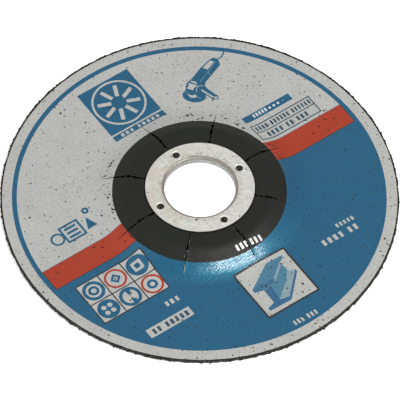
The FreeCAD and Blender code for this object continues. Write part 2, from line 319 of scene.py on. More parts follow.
# ------------------------------------------------------------------ printed layout, mm
PRINT_ANGLE = math.radians(36.3)
CA, SA = math.cos(PRINT_ANGLE), math.sin(PRINT_ANGLE)
layers = []            # (ink, polygon) from the bottom up


def tf(u, v):
    return (u * CA - v * SA, u * SA + v * CA)


def add(name, pts, turned=True):
    pts = [tf(*p) for p in pts] if turned else list(pts)
    area = sum(a[0] * b[1] - b[0] * a[1] for a, b in zip(pts, pts[1:] + pts[:1]))
    layers.append((name, pts if area > 0 else pts[::-1]))


def disc(r, n=360, c=(0, 0), start=0.0):
    return [(c[0] + r * math.cos(start + TAU * i / n), c[1] + r * math.sin(start + TAU * i / n))
            for i in range(n)]


def rect(u0, u1, v0, v1):
    return [(u0, v0), (u1, v0), (u1, v1), (u0, v1)]


def rounded(u0, u1, v0, v1, r, n=4):
    pts = []
    for cx, cy, a in ((u1 - r, v0 + r, -90), (u1 - r, v1 - r, 0), (u0 + r, v1 - r, 90),
                      (u0 + r, v0 + r, 180)):
        for i in range(n + 1):
            b = math.radians(a + 90 * i / n)
            pts.append((cx + r * math.cos(b), cy + r * math.sin(b)))
    return pts


def sector(r0, r1, a0, a1, c=(0, 0), n=24):
    """Part of a ring, angles in degrees."""
    a = [math.radians(a0 + (a1 - a0) * i / n) for i in range(n + 1)]
    return ([(c[0] + r1 * math.cos(t), c[1] + r1 * math.sin(t)) for t in a]
            + [(c[0] + r0 * math.cos(t), c[1] + r0 * math.sin(t)) for t in reversed(a)])


def stroke(p, q, w, round_end=False):
    dx, dy = q[0] - p[0], q[1] - p[1]
    d = math.hypot(dx, dy)
    nx, ny = -dy / d * w / 2, dx / d * w / 2
    return [(p[0] - nx, p[1] - ny), (q[0] - nx, q[1] - ny), (q[0] + nx, q[1] + ny),
            (p[0] + nx, p[1] + ny)]


def moved(pts, at, deg=0.0, scale=1.0):
    c, s = math.cos(math.radians(deg)) * scale, math.sin(math.radians(deg)) * scale
    return [(at[0] + x * c - y * s, at[1] + x * s + y * c) for x, y in pts]


def chord_cut(radius, v, upper=True, n=220):
    """The part of a disc of the print circle above (or below) the line at height v."""
    a = math.asin(v / radius)
    if upper:
        return [(radius * math.cos(a + (math.pi - 2 * a) * i / n),
                 radius * math.sin(a + (math.pi - 2 * a) * i / n)) for i in range(n + 1)]
    return [(radius * math.cos(math.pi - a + (math.pi + 2 * a) * i / n),
             radius * math.sin(math.pi - a + (math.pi + 2 * a) * i / n)) for i in range(n + 1)]


def word(u0, u1, v, height, groups, name, seed, v1=None, space=0.62):
    """A row of plain upright blocks where a word or number would stand: no letters."""
    rng = grid_random(seed)
    v1 = v if v1 is None else v1
    pitch = (u1 - u0) / (sum(groups) + space * (len(groups) - 1))
    u = u0
    for g in groups:
        for _ in range(g):
            mid = v + (v1 - v) * (u + pitch / 2 - u0) / (u1 - u0)
            wide = 0.27 + 0.03 * rng.uniform(-1, 1)
            add(name, rect(u + (0.5 - wide) * pitch, u + (0.5 + wide) * pitch,
                           mid - 0.46 * height, mid + 0.46 * height))
            u += pitch
        u += space * pitch


# grounds
N_OUT = 720
rng = grid_random(11)
wob = [rng.uniform(-1, 1) for _ in range(N_OUT)]
wob = [sum(wob[(i + j) % N_OUT] for j in range(-2, 3)) / 5 for i in range(N_OUT)]
add("paper", [((LABEL_R + 0.07 * wob[i]) * math.cos(TAU * i / N_OUT),
               (LABEL_R + 0.07 * wob[i]) * math.sin(TAU * i / N_OUT)) for i in range(N_OUT)], False)
# the sheet was laid a little off the disc's axis
OFF = (-0.14, 0.07)
BLUE_OUT, BLUE_IN, LOW, HIGH = 58.67, 57.15, -3.80, 3.93


def shifted(pts):
    return [(x + OFF[0], y + OFF[1]) for x, y in pts]


add("blue", shifted(disc(BLUE_OUT, 600)), False)
add("paper", shifted([tf(*p) for p in chord_cut(BLUE_IN, HIGH)]), False)
# the stripe, a straight band right across, with a thin dark line along its lower edge and ends
e = 0.24
x0 = math.sqrt(BLUE_IN ** 2 - HIGH ** 2)


def band(a, b, lo, hi):
    """The band flares a little beside the hub, where the slits let the sheet spread."""
    def flare(u):
        return math.exp(-max(abs(u) - 26.5, 0) / 1.9)
    us = [a] + [u for u in [x * 0.6 for x in range(-62, 63)] if a < u < b] + [b]
    return ([(u, lo - 0.22 * flare(u)) for u in us]
            + [(u, hi + (0.36 if u > 0 else 0.16) * flare(u)) for u in reversed(us)])


add("edge", band(-x0 - 0.12, x0 + 0.12, LOW - e, HIGH))
add("red", band(-x0 + 0.08, x0 - 0.08, LOW, HIGH))

# square panel and strip, far left
add("blue", rect(-9.5, 9.6, 34.8, 53.9))
add("blue", rect(-9.5, 9.7, 31.98, 34.22))
word(-7.1, 7.9, 33.1, 1.45, (3, 5), "paper", 2)
hub = (0.05, 44.4)
add("paper", disc(8.75, 96, hub))
add("blue", disc(8.05, 96, hub))
for i in range(8):
    a = TAU * (i + 0.5) / 8
    ca, sa = math.cos(a), math.sin(a)
    p = (hub[0] + 2.5 * ca, hub[1] + 2.5 * sa)
    q = (hub[0] + 6.9 * ca, hub[1] + 6.9 * sa)
    add("paper", stroke(p, q, 1.3))

# small hand tool silhouette, far side
tool_at, tool_deg = (0, 0), 0.0
TP = lambda x, y: (x, y)


def xy(name, pts):
    add(name, pts, False)


def line_xy(name, pts, w):
    for p, q in zip(pts, pts[1:]):
        dx, dy = q[0] - p[0], q[1] - p[1]
        d = math.hypot(dx, dy)
        ex, ey = dx / d * w * 0.35, dy / d * w * 0.35
        xy(name, stroke((p[0] - ex, p[1] - ey), (q[0] + ex, q[1] + ey), w))


line_xy("blue", [(6.49, 57.25), (6.4, 55.97), (5.93, 54.9), (5.32, 54.22), (4.3, 53.85)], 0.42)    # lead
xy("blue", [(-2.49 + 3.72 * math.cos(TAU * i / 40) - 0.35 * math.sin(TAU * i / 40),
             39.15 + 2.66 * math.sin(TAU * i / 40)) for i in range(40)])                          # wheel
xy("blue", [(3.18, 54.34), (4.15, 54.09), (5.01, 53.38), (5.52, 51.6), (2.64, 47.1), (1.09, 44.67),
            (0.77, 43.19), (-0.83, 43.42), (-2.25, 44.57), (-3.64, 45.49), (-0.66, 50.25),
            (2.09, 53.65)])                                                                       # body
xy("blue", [(-4.68, 44.5), (-3.64, 45.52), (-2.04, 45.04), (0.77, 43.28), (1.4, 42.1), (0.13, 39.5),
            (-5.34, 40.72), (-5.07, 43.57)])                                                      # gear head
xy("paper", [(2.39, 53.25), (3.46, 52.84), (3.29, 52.17), (1.45, 49.42), (1.27, 49.71), (0.01, 50.23),
             (0.16, 50.57), (2.1, 53.06)])
line_xy("steel_c", [(4.09, 53.04), (1.61, 48.54), (-0.7, 44.71)], 0.14)
line_xy("steel_c", [(1.66, 48.64), (2.71, 47.25)], 0.16)
xy("paper", [(-3.8, 44.99), (-2.03, 44.67), (-1.54, 43.89), (-2.24, 43.93), (-3.85, 44.64)])
xy("paper", [(-4.4, 44.14), (-1.78, 43.26), (-1.33, 43.31), (-2.54, 42.25), (-2.99, 41.21),
             (-4.83, 41.93), (-4.33, 43.14)])
xy("paper", [(-4.51, 39.96), (-3.91, 39.39), (-2.81, 39.24), (-2.35, 39.71), (-1.45, 38.82),
             (-2.2, 38.3), (-3.45, 38.26), (-4.33, 39.05)])
line_xy("steel_c", [(-5.37, 40.59), (-4.27, 40.0)], 0.16)
line_xy("steel_c", [(-1.45, 38.87), (-0.4, 37.98)], 0.16)
line_xy("paper", [(0.28, 43.32), (-0.82, 43.11), (-1.62, 42.39), (-1.88, 41.55), (-1.66, 40.64)], 0.2)
xy("blue", [(-0.81, 42.23), (0.06, 43.08), (1.07, 42.92), (1.55, 42.11), (5.1, 39.17), (5.32, 38.59),
            (4.75, 37.76), (3.69, 37.73), (1.45, 39.36), (-0.78, 40.85)])                         # side handle
xy("paper", [(-0.39, 41.87), (0.12, 41.52), (3.79, 38.87), (3.56, 38.39), (-0.17, 41.03)])
xy("paper", disc(0.5, 20, (4.42, 38.55)))

# bar with dots
add("blue", rect(28.0, 46.1, 14.3, 16.93))
word(31.5, 37.1, 15.75, 1.5, (5,), "white", 3)
for u, r, c in ((38.1, 0.44, "white"), (39.7, 0.44, "white"), (41.3, 0.44, "white"),
                (43.2, 0.24, "steel_c")):
    add(c, disc(r, 12, (u, 15.62)))

# two-row frame
add("line", rect(27.95, 50.85, 5.15, 12.45))
add("paper", rect(28.35, 50.45, 5.55, 8.73))
add("paper", rect(28.35, 50.45, 9.11, 12.05))
word(28.9, 50.2, 10.55, 2.0, (4, 6, 6), "line", 5)
word(31.0, 47.0, 7.1, 2.1, (4, 2, 3), "line", 6)

# round arrow, left
for c, r0, r1 in (((-46.0, 11.5), 1.68, 2.36), ((-32.75, 15.9), 0.42, 1.2)):
    add("blue", disc(r1, 36, c))
    add("paper", disc(r0, 28, c))
add("blue", rect(-43.9, -36.8, 8.3, 15.0))
add("paper", rect(-43.2, -37.5, 9.0, 14.3))
for v in (10.0, 11.65, 13.3):
    add("blue", rect(-42.4, -38.3, v - 0.42, v + 0.42))
add("blue", [(-34.1, 13.8), (-36.0, 9.4), (-32.4, 9.4)])

# panel of six cells
add("frame", rect(-52.2, -27.45, -23.15, -6.45))
for i, (a, b) in enumerate(((-51.75, -44.03), (-43.6, -35.68), (-35.25, -27.9))):
    for j, (c, d) in enumerate(((-22.7, -15.2), (-14.8, -6.9))):
        add("paper", rect(a, b, c, d))
R6 = 3.62
cells = {(0, 1): (-47.85, -10.8), (1, 1): (-39.65, -10.8), (2, 1): (-31.4, -10.7),
         (0, 0): (-47.85, -19.0), (1, 0): (-39.65, -19.0), (2, 0): (-31.4, -19.0)}
for key, c in cells.items():
    if key in ((1, 1), (2, 0)):
        add("red", disc(R6, 56, c))
        add("paper", disc(R6 - 0.72, 48, c))
        if key == (1, 1):
            add("blue", moved(rect(-1.35, 1.35, -1.35, 1.35), c, 45))
            add("paper", moved(rect(-0.6, 0.6, -0.6, 0.6), c, 45))
        else:
            add("blue", disc(1.75, 36, c))
            add("paper", disc(0.85, 28, c))
    else:
        add("blue", disc(R6, 56, c))
        if key == (0, 1):
            add("paper", disc(2.5, 40, c))
            add("blue", disc(1.75, 36, c))
            add("paper", disc(0.9, 24, c))
        elif key == (2, 1):
            add("paper", moved(rounded(-1.75, 1.75, -1.75, 1.75, 0.4), c, 0))
            add("blue", moved(rounded(-0.85, 0.85, -0.85, 0.85, 0.2), c, 0))
        elif key == (0, 0):
            for a in (0, 90, 180, 270):
                add("paper", disc(0.82, 20, (c[0] + 1.55 * math.cos(math.radians(a + 45)),
                                             c[1] + 1.55 * math.sin(math.radians(a + 45)))))
        else:
            add("paper", sector(0.0001, 2.5, 100, 260, c, 20))
            add("paper", sector(0.0001, 2.5, -60, 60, c, 16))

# short rows of blocks and the pale bar
word(-32.9, -27.3, -27.75, 2.0, (3,), "paper", 8)
add("paper", rect(-43.25, -27.2, -35.7, -32.2))
word(-42.0, -28.0, -34.0, 2.2, (2, 5), "line", 9)
word(28.0, 35.0, -33.6, 1.6, (5,), "paper", 10, v1=-33.9)
word(20.5, 34.3, -36.75, 2.35, (4, 2), "paper", 12, v1=-37.15)
word(-4.3, 4.8, -56.1, 1.9, (3, 3), "paper", 13, v1=-56.35)

# square panel with a girder, near side
add("frame", rect(-9.38, 10.15, -50.35, -30.85))
add("paper", rect(-8.72, 9.5, -49.68, -31.5))


# a rolled steel section seen from one corner, drawn as flat faces
for name, pts in (
    ("steel_a", [(-7.24, -38.54), (1.85, -32.87), (8.06, -32.99), (7.45, -34.07), (5.33, -35.07), (0.65, -38.75),
                 (-3.4, -38.31)]),
    ("steel_d", [(-1.59, -40.35), (0.48, -39.94), (5.97, -35.52), (6.1, -38.57), (3.62, -41.46), (-2.24, -46.13)]),
    ("steel_c", [(0.65, -38.75), (5.33, -35.07), (6.0, -35.47), (0.56, -39.87)]),
    ("steel_c", [(-2.28, -46.17), (3.62, -41.46), (6.06, -38.81), (8.26, -39.74), (5.47, -42.75), (0.81, -47.07)]),
    ("steel_b", [(0.81, -47.07), (8.3, -39.7), (8.44, -40.52), (0.81, -48.24), (0.23, -48.37)]),
    ("steel_e", [(-7.24, -38.54), (-7.4, -39.8), (-4.42, -40.69), (0.2, -40.14), (0.84, -39.05), (0.38, -38.56),
                 (-3.4, -38.31)]),
    ("steel_b", [(-4.42, -40.75), (-1.59, -40.45), (-2.27, -46.4), (-4.54, -46.3)]),
    ("steel_b", [(-7.32, -47.06), (-4.69, -46.2), (-2.31, -46.22), (0.81, -47.07), (0.23, -48.37), (-7.17, -48.14)])):
    add(name, pts)

# black centre
rng = grid_random(31)
fray = [rng.uniform(-1, 1) for _ in range(720)]
fray = [0.035 * (fray[i] + fray[i - 1]) + 0.05 * sum(fray[(i + j) % 720] for j in range(9)) / 9
        for i in range(720)]
add("black", shifted([((27.38 + fray[i]) * math.cos(TAU * i / 720),
                       (27.38 + fray[i]) * math.sin(TAU * i / 720)) for i in range(720)]), False)
# a near-black ring round the foot of the collar: painted shadow cast by the collar's edge, partly grime
add("collar_shadow_seam", disc(17.58, 240), False)
word(-4.1, 5.6, -24.85, 2.05, (3, 3), "white", 14, v1=-25.65, space=0.3)

# ------------------------------------------------------------------ grit that pricks the sheet
# the larger marks stand where the wheel shows them, the rest are scattered
rng = grid_random(5)


def blot(x, y, size, stretch=1.0, turn=0.0, n=7):
    pts = []
    for i in range(n):
        a = TAU * i / n
        r = size * rng.uniform(0.65, 1.2)
        pts.append((r * math.cos(a) * stretch, r * math.sin(a)))
    add("speck", moved(pts, (x, y), turn), False)


placed = [(28.3, 38.9, .3), (4.6, 39.4, .32), (18.4, 43.7, .36), (5.9, 54.9, .3), (-5.0, 42.7, .35),
          (36.6, -47.4, .45), (-9.1, -48.3, .35), (3.3, 38.2, .28), (22.1, 29.7, .3), (-7.2, 57.7, .3),
          (-39.1, 37.8, .3), (35.3, 37.1, .34), (33.4, 39.8, .3), (-11.4, 31.5, .4), (-36.6, 27.6, .4),
          (33.0, 30.4, .34), (38.6, 34.4, .4), (36.0, -16.0, .3), (18.0, 45.2, .3), (-44.6, 31.0, .4),
          (38.6, -44.2, .3), (37.4, -46.1, .3), (29.4, -52.1, .34), (31.3, -54.0, .3), (1.8, -59.0, .3),
          (3.0, -59.7, .28), (17.4, -57.0, .3), (21.9, -30.1, .26), (26.8, -29.4, .28), (27.5, -31.3, .28),
          (29.1, -28.3, .26), (32.5, -32.5, .5), (16.1, -33.5, .28), (20.0, -34.0, .28), (18.7, -36.5, .26),
          (22.8, -26.5, .28), (25.6, -25.2, .26), (28.7, -24.2, .3), (38.2, -25.8, .28), (39.0, -30.4, .3),
          (12.7, -35.2, .28), (9.8, -37.7, .28), (40.0, -4.0, .3), (47.9, .1, .3), (59.7, 1.2, .3),
          (60.0, -2.2, .28), (57.6, -7.8, .28), (58.0, -14.7, .46), (54.8, -17.7, .28), (51.4, -17.3, .3),
          (36.5, -9.8, .3), (48.2, -13.8, .28), (53.3, -20.6, .3), (-42.5, 2.9, .3), (-42.0, -3.3, .3),
          (-53.5, -5.3, .3), (-54.6, -10.2, .28), (-54.3, -15.1, .3), (-49.1, -16.2, .3), (-52.3, -19.8, .28),
          (-32.8, -2.3, .3), (-48.5, -8.3, .28), (-9.5, 51.4, .28), (-9.9, 59.2, .3), (-.5, 59.5, .28),
          (-6.7, 43.0, .3), (-7.5, 40.7, .28), (9.8, 45.1, .3)]
for x, y, s in placed:
    blot(x, y, s * 0.8, rng.uniform(1.0, 1.5), rng.uniform(0, 180))


def nick(x0, y0, x1, y1, w, name):
    """A ragged dark nick from one point to another."""
    d = max(math.hypot(x1 - x0, y1 - y0), 0.05)
    ux, uy = (x1 - x0) / d, (y1 - y0) / d
    d += w * 0.5
    n = max(4, int(d / 0.28))
    side_a, side_b = [], []
    for i in range(n + 1):
        t = i / n
        h = w / 2 * (0.45 + 0.55 * math.sin(math.pi * min(max(t, 0.06), 0.94)) ** 0.6)
        for side_, out_ in ((1, side_a), (-1, side_b)):
            k = h * rng.uniform(0.55, 1.25)
            q = (t - 0.5) * d + rng.uniform(-0.06, 0.06)
            out_.append(((x0 + x1) / 2 + ux * q - uy * k * side_, (y0 + y1) / 2 + uy * q + ux * k * side_))
    add(name, side_a + side_b[::-1], False)


# nicks that creasing and handling left round the foot of the crank
for m in (
    (-27.1, 12.2, -28.1, 11.1, .34, "speck"), (-28.0, 11.1, -28.1, 10.9, .62, "speck"), (-28.1, 10.3, -28.6, 9.8, .55, "speck"),
    (-28.8, 11.3, -29.0, 11.1, .30, "speck"), (-29.0, 10.0, -29.3, 9.5, .20, "speck"), (-29.6, 6.1, -29.9, 6.0, .50, "speck"),
    (-30.0, 2.8, -30.3, 2.6, .28, "speck"), (-31.0, 1.3, -31.4, 1.1, .22, "speck"), (-29.9, -0.8, -29.1, -1.9, .16, "speck"),
    (-28.2, -1.4, -28.3, -1.8, .40, "speck"), (-28.5, -2.7, -28.8, -2.8, .62, "speck"), (-28.0, -5.3, -28.3, -5.4, .45, "speck"),
    (-26.9, -5.7, -27.2, -6.1, .20, "speck"), (-27.5, -7.0, -26.4, -7.9, .42, "speck"), (-27.3, -8.2, -26.8, -8.6, .30, "speck"),
    (-26.9, -8.5, -27.0, -8.9, .30, "speck"), (-26.4, -10.7, -26.5, -10.9, .40, "speck"), (-30.5, -8.7, -30.6, -8.8, .35, "speck"),
    (-25.3, 14.6, -25.6, 14.4, .30, "speck"), (-30.1, 16.1, -30.3, 15.9, .30, "speck"), (-30.4, 7.6, -30.6, 7.5, .22, "speck"),
    (-29.1, 8.4, -29.3, 8.3, .20, "speck"), (-4.2, 31.2, -4.8, 30.2, .50, "speck"), (-4.6, 30.4, -3.9, 30.3, .25, "speck"),
    (-3.6, 31.6, -2.8, 30.5, .36, "speck"), (-5.3, 30.2, -5.9, 29.8, .22, "speck"), (-6.6, 29.6, -6.8, 29.3, .35, "speck"),
    (-0.7, 28.8, -1.4, 28.1, .42, "speck"), (0.2, 29.3, 0.2, 28.6, .50, "speck"), (0.1, 30.1, 0.5, 30.0, .25, "speck"),
    (3.0, 31.1, 2.9, 30.4, .50, "speck"), (6.6, 31.3, 6.4, 30.8, .30, "speck"), (7.8, 29.8, 7.3, 29.5, .55, "speck"),
    (8.5, 29.9, 8.9, 29.3, .20, "speck"), (10.7, 31.1, 11.2, 30.3, .20, "speck"), (11.7, 29.5, 11.5, 29.2, .28, "speck"),
    (10.6, 27.8, 10.3, 27.3, .30, "speck"), (11.0, 27.1, 11.6, 26.5, .55, "speck"), (13.2, 25.5, 13.5, 25.4, 1.00, "speck"),
    (12.1, 27.7, 11.9, 27.4, .20, "speck"), (-2.8, 27.6, -2.6, 27.0, .30, "speck"), (-28.5, -13.9, -28.7, -14.1, .40, "speck"),
    (-27.9, -14.8, -28.0, -14.9, .35, "speck"), (-21.6, -16.9, -21.1, -17.6, .65, "scuff"), (-23.0, -15.9, -23.3, -16.1, .25, "scuff"),
    (-21.2, -18.3, -20.9, -18.2, .25, "scuff"), (21.3, 19.0, 21.8, 19.7, .42, "scuff"), (21.8, 19.7, 22.6, 19.4, .30, "scuff"),
    (22.5, 19.4, 23.3, 18.6, .42, "scuff"), (23.2, 16.1, 23.5, 16.1, .40, "scuff"), (24.1, 15.0, 24.5, 15.5, .35, "scuff"),
    (25.4, 16.5, 25.5, 15.7, .35, "scuff"), (24.7, 14.5, 25.2, 14.1, .50, "scuff"), (25.5, 14.6, 25.9, 14.3, .40, "scuff"),
    (20.7, 19.5, 20.9, 18.9, .30, "scuff"), (23.8, 19.8, 24.0, 19.4, .20, "scuff"), (24.7, 17.3, 24.9, 17.0, .20, "scuff")):
    nick(*m[:4], m[4] * 1.3, m[5])
for i in range(26):                                   # fainter ones, far and left
    a = math.radians(rng.choice((rng.uniform(55, 130), rng.uniform(150, 215))))
    r = rng.uniform(27.6, 33.2)
    blot(r * math.cos(a), r * math.sin(a), rng.uniform(0.06, 0.14), rng.uniform(1.2, 2.8),
         math.degrees(a) + rng.choice((0, 90)) + rng.uniform(-25, 25))
for i in range(560):                                  # everywhere
    a, r = rng.uniform(0, TAU), math.sqrt(rng.uniform(28.0 ** 2, 61.3 ** 2))
    blot(r * math.cos(a), r * math.sin(a), 0.08 + 0.18 * rng.random() ** 2.4, rng.uniform(1, 1.6),
         rng.uniform(0, 180), 6)
for u, v in ((-38.38, 2.64), (-36.3, 1.21), (46.63, .68), (52.35, .54), (43.53, -.6)):   # on the stripe
    blot(*tf(u, v), 0.33, 1.25, rng.uniform(0, 180))
for i in range(40):                                   # nicks along the sheet's edge
    a, r = rng.uniform(0, TAU), rng.uniform(60.6, 61.8)
    blot(r * math.cos(a), r * math.sin(a), rng.uniform(0.1, 0.28), rng.uniform(1, 1.8),
         math.degrees(a))

# ------------------------------------------------------------------ slits
# each gap: azimuth, outer end, widest opening and ragged depth of its edges
rng = grid_random(21)
SLITS = [(37.2, 31.3, .76, .8), (81.7, 31.9, .70, 1.15), (125.95, 32.8, .78, 1.0), (170.5, 31.9, .74, 1.1),
         (215.6, 31.3, .74, 1.1), (261.2, 31.6, .42, 1.2), (306.6, 32.0, .70, 1.15), (351.9, 30.6, .70, 1.0)]
GAPE = ([15.6, 17.3, 19.0, 21.5, 23.0, 24.6, 26.0, 27.4, 29.5, 33.0],
        [0.38, 0.56, 0.64, 0.66, 0.76, 0.78, 0.56, 0.38, 0.28, 0.12])
slits = []


def slit(deg, r_out, width, jag):
    """A torn radial gap: a string of wider tears on the hub's shoulder, a hairline at its outer end."""
    r_in, n = 15.6, 120
    blobs = [rng.uniform(-1, 1) for _ in range(40)]
    bend = [rng.uniform(-1, 1) for _ in range(14)]
    faint = deg > 340

    def lookup(table, x):
        i = int(x) % (len(table) - 1)
        t = x - int(x)
        t = t * t * (3 - 2 * t)
        return table[i] * (1 - t) + table[i + 1] * t

    left, right = [], []
    for i in range(n + 1):
        r = r_in + (r_out - r_in) * i / n
        w = width * float(np.interp(r, *GAPE))
        tear = min(max((27.2 - r) / 1.2, 0.0), 1.0)
        w *= 1 + tear * jag * 0.82 * lookup(blobs, (r - r_in) / 0.46)
        if faint and r > 24.0:
            w = 0.09
        w = max(w, 0.09) * min(1.0, (r_out - r) / 1.2 + 0.12)
        m = 0.10 * lookup(bend, (r - r_in) / 1.9) * (0.4 + 0.6 * tear)
        j = 0.035 + 0.05 * tear * jag
        if r > 27.4:
            j = 0.012
        left.append((r, m + w / 2 + rng.uniform(-0.8, 1.0) * j))
        right.append((r, m - w / 2 - rng.uniform(-0.8, 1.0) * j))
    for i in range(n + 1):                  # the two edges never cross
        if left[i][1] - right[i][1] < 0.05:
            m = (left[i][1] + right[i][1]) / 2
            left[i], right[i] = (left[i][0], m + 0.025), (right[i][0], m - 0.025)
    pts = moved(right + left[::-1], (0, 0), deg)
    slits.append(pts)


for s_ in SLITS:
    slit(*s_)
# pale torn fibres beside a few of the gaps
for deg, r0, r1, side, w_ in ((261.2, 20.5, 21.6, 1, .16), (261.2, 23.6, 24.6, 1, .18),
                              (261.2, 25.2, 26.3, -1, .18), (261.2, 28.0, 30.8, 1, .34),
                              (306.6, 18.4, 19.2, -1, .2), (306.6, 20.4, 20.9, -1, .16),
                              (81.7, 21.2, 21.7, -1, .12), (37.2, 19.5, 20.0, -1, .12),
                              (125.95, 17.7, 18.2, 1, .3), (215.6, 23.5, 24.0, -1, .14)):
    off = (0.16 if r0 > 27 else 0.30) * side
    pts = [(r0, off), ((r0 + r1) / 2, off - 0.05), (r1, off), ((r0 + r1) / 2 + 0.2, off + w_ * side)]
    add("torn", moved(pts, (0, 0), deg), False)

# ------------------------------------------------------------------ partition of the sheet
verts, faces, tags = [], [], []


def feed(pts, tag):
    """Hand a polygon to the partition, with its edges cut short where they cross the crank."""
    fine = []
    for p, q in zip(pts, pts[1:] + pts[:1]):
        fine.append(p)
        n = int(math.hypot(q[0] - p[0], q[1] - p[1]) / 0.55)
        for i in range(1, n):
            x, y = p[0] + (q[0] - p[0]) * i / n, p[1] + (q[1] - p[1]) * i / n
            if HUB_FLAT - 0.6 < math.hypot(x, y) < CRANK_END + 0.6:
                fine.append((x, y))
    base = len(verts)
    verts.extend(Vector(p) for p in fine)
    faces.append(list(range(base, base + len(fine))))
    tags.append(tag)


for name, pts in layers:
    feed(pts, name)
hole_tag = "hole"
feed(disc(LABEL_HOLE, 180), hole_tag)
for k in range(4):
    a = math.radians(PIN_START + 90 * k)
    feed(disc(PIN_R, 32, (PIN_PITCH * math.cos(a), PIN_PITCH * math.sin(a))), hole_tag)
for pts in slits:
    area = sum(a[0] * b[1] - b[0] * a[1] for a, b in zip(pts, pts[1:] + pts[:1]))
    feed(pts if area > 0 else pts[::-1], hole_tag)
# points that carry the curve of the crank
k = 0
r = HUB_FLAT - 1.0
while r < CRANK_END + 1.0:
    n = 300
    for i in range(n):
        a = TAU * (i + 0.5 * (k % 2)) / n
        verts.append(Vector((r * math.cos(a), r * math.sin(a))))
    r += 0.5
    k += 1
# a loose net of points over the level parts keeps the triangles well shaped
for k, r in enumerate((14, 16, 18, 20, 37, 40.5, 44, 47.5, 51, 54.5, 58, 60.2)):
    n = int(TAU * r / 3.2)
    for i in range(n):
        a = TAU * (i + 0.5 * (k % 2)) / n
        verts.append(Vector((r * math.cos(a), r * math.sin(a))))

cv, ce, cf, _, _, of_ = delaunay_2d_cdt(verts, [], faces, 1, 1e-5, True)
P = np.array([(p.x, p.y) for p in cv], float)
tri, mat = [], []
for f, src in zip(cf, of_):
    if not src:
        continue
    if any(tags[i] == hole_tag for i in src):
        continue
    if len(f) != 3:
        continue
    tri.append(tuple(f))
    mat.append(ORDER.index(tags[max(src)]))
tri = np.array(tri)
a, b, c = P[tri[:, 0]], P[tri[:, 1]], P[tri[:, 2]]
signed = (b[:, 0] - a[:, 0]) * (c[:, 1] - a[:, 1]) - (c[:, 0] - a[:, 0]) * (b[:, 1] - a[:, 1])
keep = np.abs(signed) > 1e-7
tri, mat, signed = tri[keep], np.array(mat)[keep], signed[keep]
tri[signed < 0] = tri[signed < 0][:, ::-1]
used = np.unique(tri)
remap = -np.ones(len(P), int)
remap[used] = np.arange(len(used))
P, tri = P[used], remap[tri]
print("label: triangles on top", len(tri), "points", len(P))


def slit_lift(x, y):
    """The sheet stands up a little along the gaps on the crank."""
    out = np.zeros_like(x)
    for deg, r_out, _, _ in SLITS:
        a = math.radians(deg)
        along = x * math.cos(a) + y * math.sin(a)
        across = np.abs(-x * math.sin(a) + y * math.cos(a))
        span = np.clip((along - 18) / 4, 0, 1) * np.clip((r_out + 0.5 - along) / 5, 0, 1)
        out += 0.10 * span * np.exp(-(across / 0.8) ** 2) * (along > 0)
    return out


def top_z(x, y):
    return crank(np.hypot(x, y), THICK / 2 + PAPER) + slit_lift(x, y)


def surface_normals(x, y, fn, d=0.02):
    gx = (fn(x + d, y) - fn(x - d, y)) / (2 * d)
    gy = (fn(x, y + d) - fn(x, y - d)) / (2 * d)
    n = np.stack([-gx, -gy, np.ones_like(gx)], -1)
    return n / np.linalg.norm(n, axis=1)[:, None]


# the flank is not quite straight: a touch steeper near the hub, easier towards its foot
RR = np.linspace(20, 40, 801)
STEEPER = -0.060 * np.exp(-((RR - 28.2) / 1.25) ** 2) + 0.050 * np.exp(-((RR - 31.0) / 1.1) ** 2)
EASE = np.concatenate([[0], np.cumsum((STEEPER[1:] + STEEPER[:-1]) / 2 * np.diff(RR))])


def shade_z(x, y):
    return top_z(x, y) + np.interp(np.hypot(x, y), RR, EASE)


X, Y = P[:, 0], P[:, 1]
zt = top_z(X, Y)
zb = crank(np.hypot(X, Y), THICK / 2 + 0.004)
n_top = surface_normals(X, Y, shade_z)
n_pts = len(P)
co = np.concatenate([np.stack([X, Y, zt], -1), np.stack([X, Y, zb], -1)]) * MM
edge_use = {}
for t in tri:
    for i in range(3):
        edge_use[(int(t[i]), int(t[(i + 1) % 3]))] = True
rim_edges = [(i, j) for i, j in edge_use if (j, i) not in edge_use]
side = []
for i, j in rim_edges:
    side.append((j, i, i + n_pts, j + n_pts))
polys = [tuple(int(v) for v in t) for t in tri]
polys += [tuple(int(v) + n_pts for v in t[::-1]) for t in tri]
polys += side
# the cut edges inside the gaps get near black, painted shade in the slits; the sheet's outer edge stays paper
paper_i, slit_shade_i = ORDER.index("paper"), ORDER.index("gap")
rad_side = [math.hypot(*P[i]) for i, _, _, _ in side]
mats = list(mat) + [paper_i] * len(tri) + [paper_i if q > 50 else slit_shade_i for q in rad_side]


def make_object(name, co, polys, materials, mat_index=None, smooth=True, normals=None):
    me = bpy.data.meshes.new(name)
    me.from_pydata([tuple(map(float, c)) for c in co], [], polys)
    for m in materials:
        me.materials.append(m)
    if mat_index is not None:
        me.polygons.foreach_set("material_index", np.array(mat_index, np.int32))
    me.polygons.foreach_set("use_smooth", np.array([smooth] * len(polys) if isinstance(smooth, bool)
                                                   else smooth, bool))
    me.update()
    ob = bpy.data.objects.new(name, me)
    bpy.context.scene.collection.objects.link(ob)
    if normals is not None:
        me.normals_split_custom_set([tuple(map(float, n)) for n in normals])
    return ob


loop_n = []
for t in tri:
    for v in t:
        loop_n.append(n_top[v])
for t in tri:
    for v in t[::-1]:
        loop_n.append(-n_top[v])
for q in side:
    p0, p1 = co[q[0]], co[q[1]]
    d = p1 - p0
    nn = np.array([-d[1], d[0], 0.0])
    # the side faces look away from the sheet
    L = np.linalg.norm(nn)
    nn = nn / L if L > 0 else np.array([0, 0, 1.0])
    for _ in range(4):
        loop_n.append(nn)
label = make_object("printed_label", co, polys, [INK[k] for k in ORDER], mats, True, loop_n)
print("label faces", len(polys))

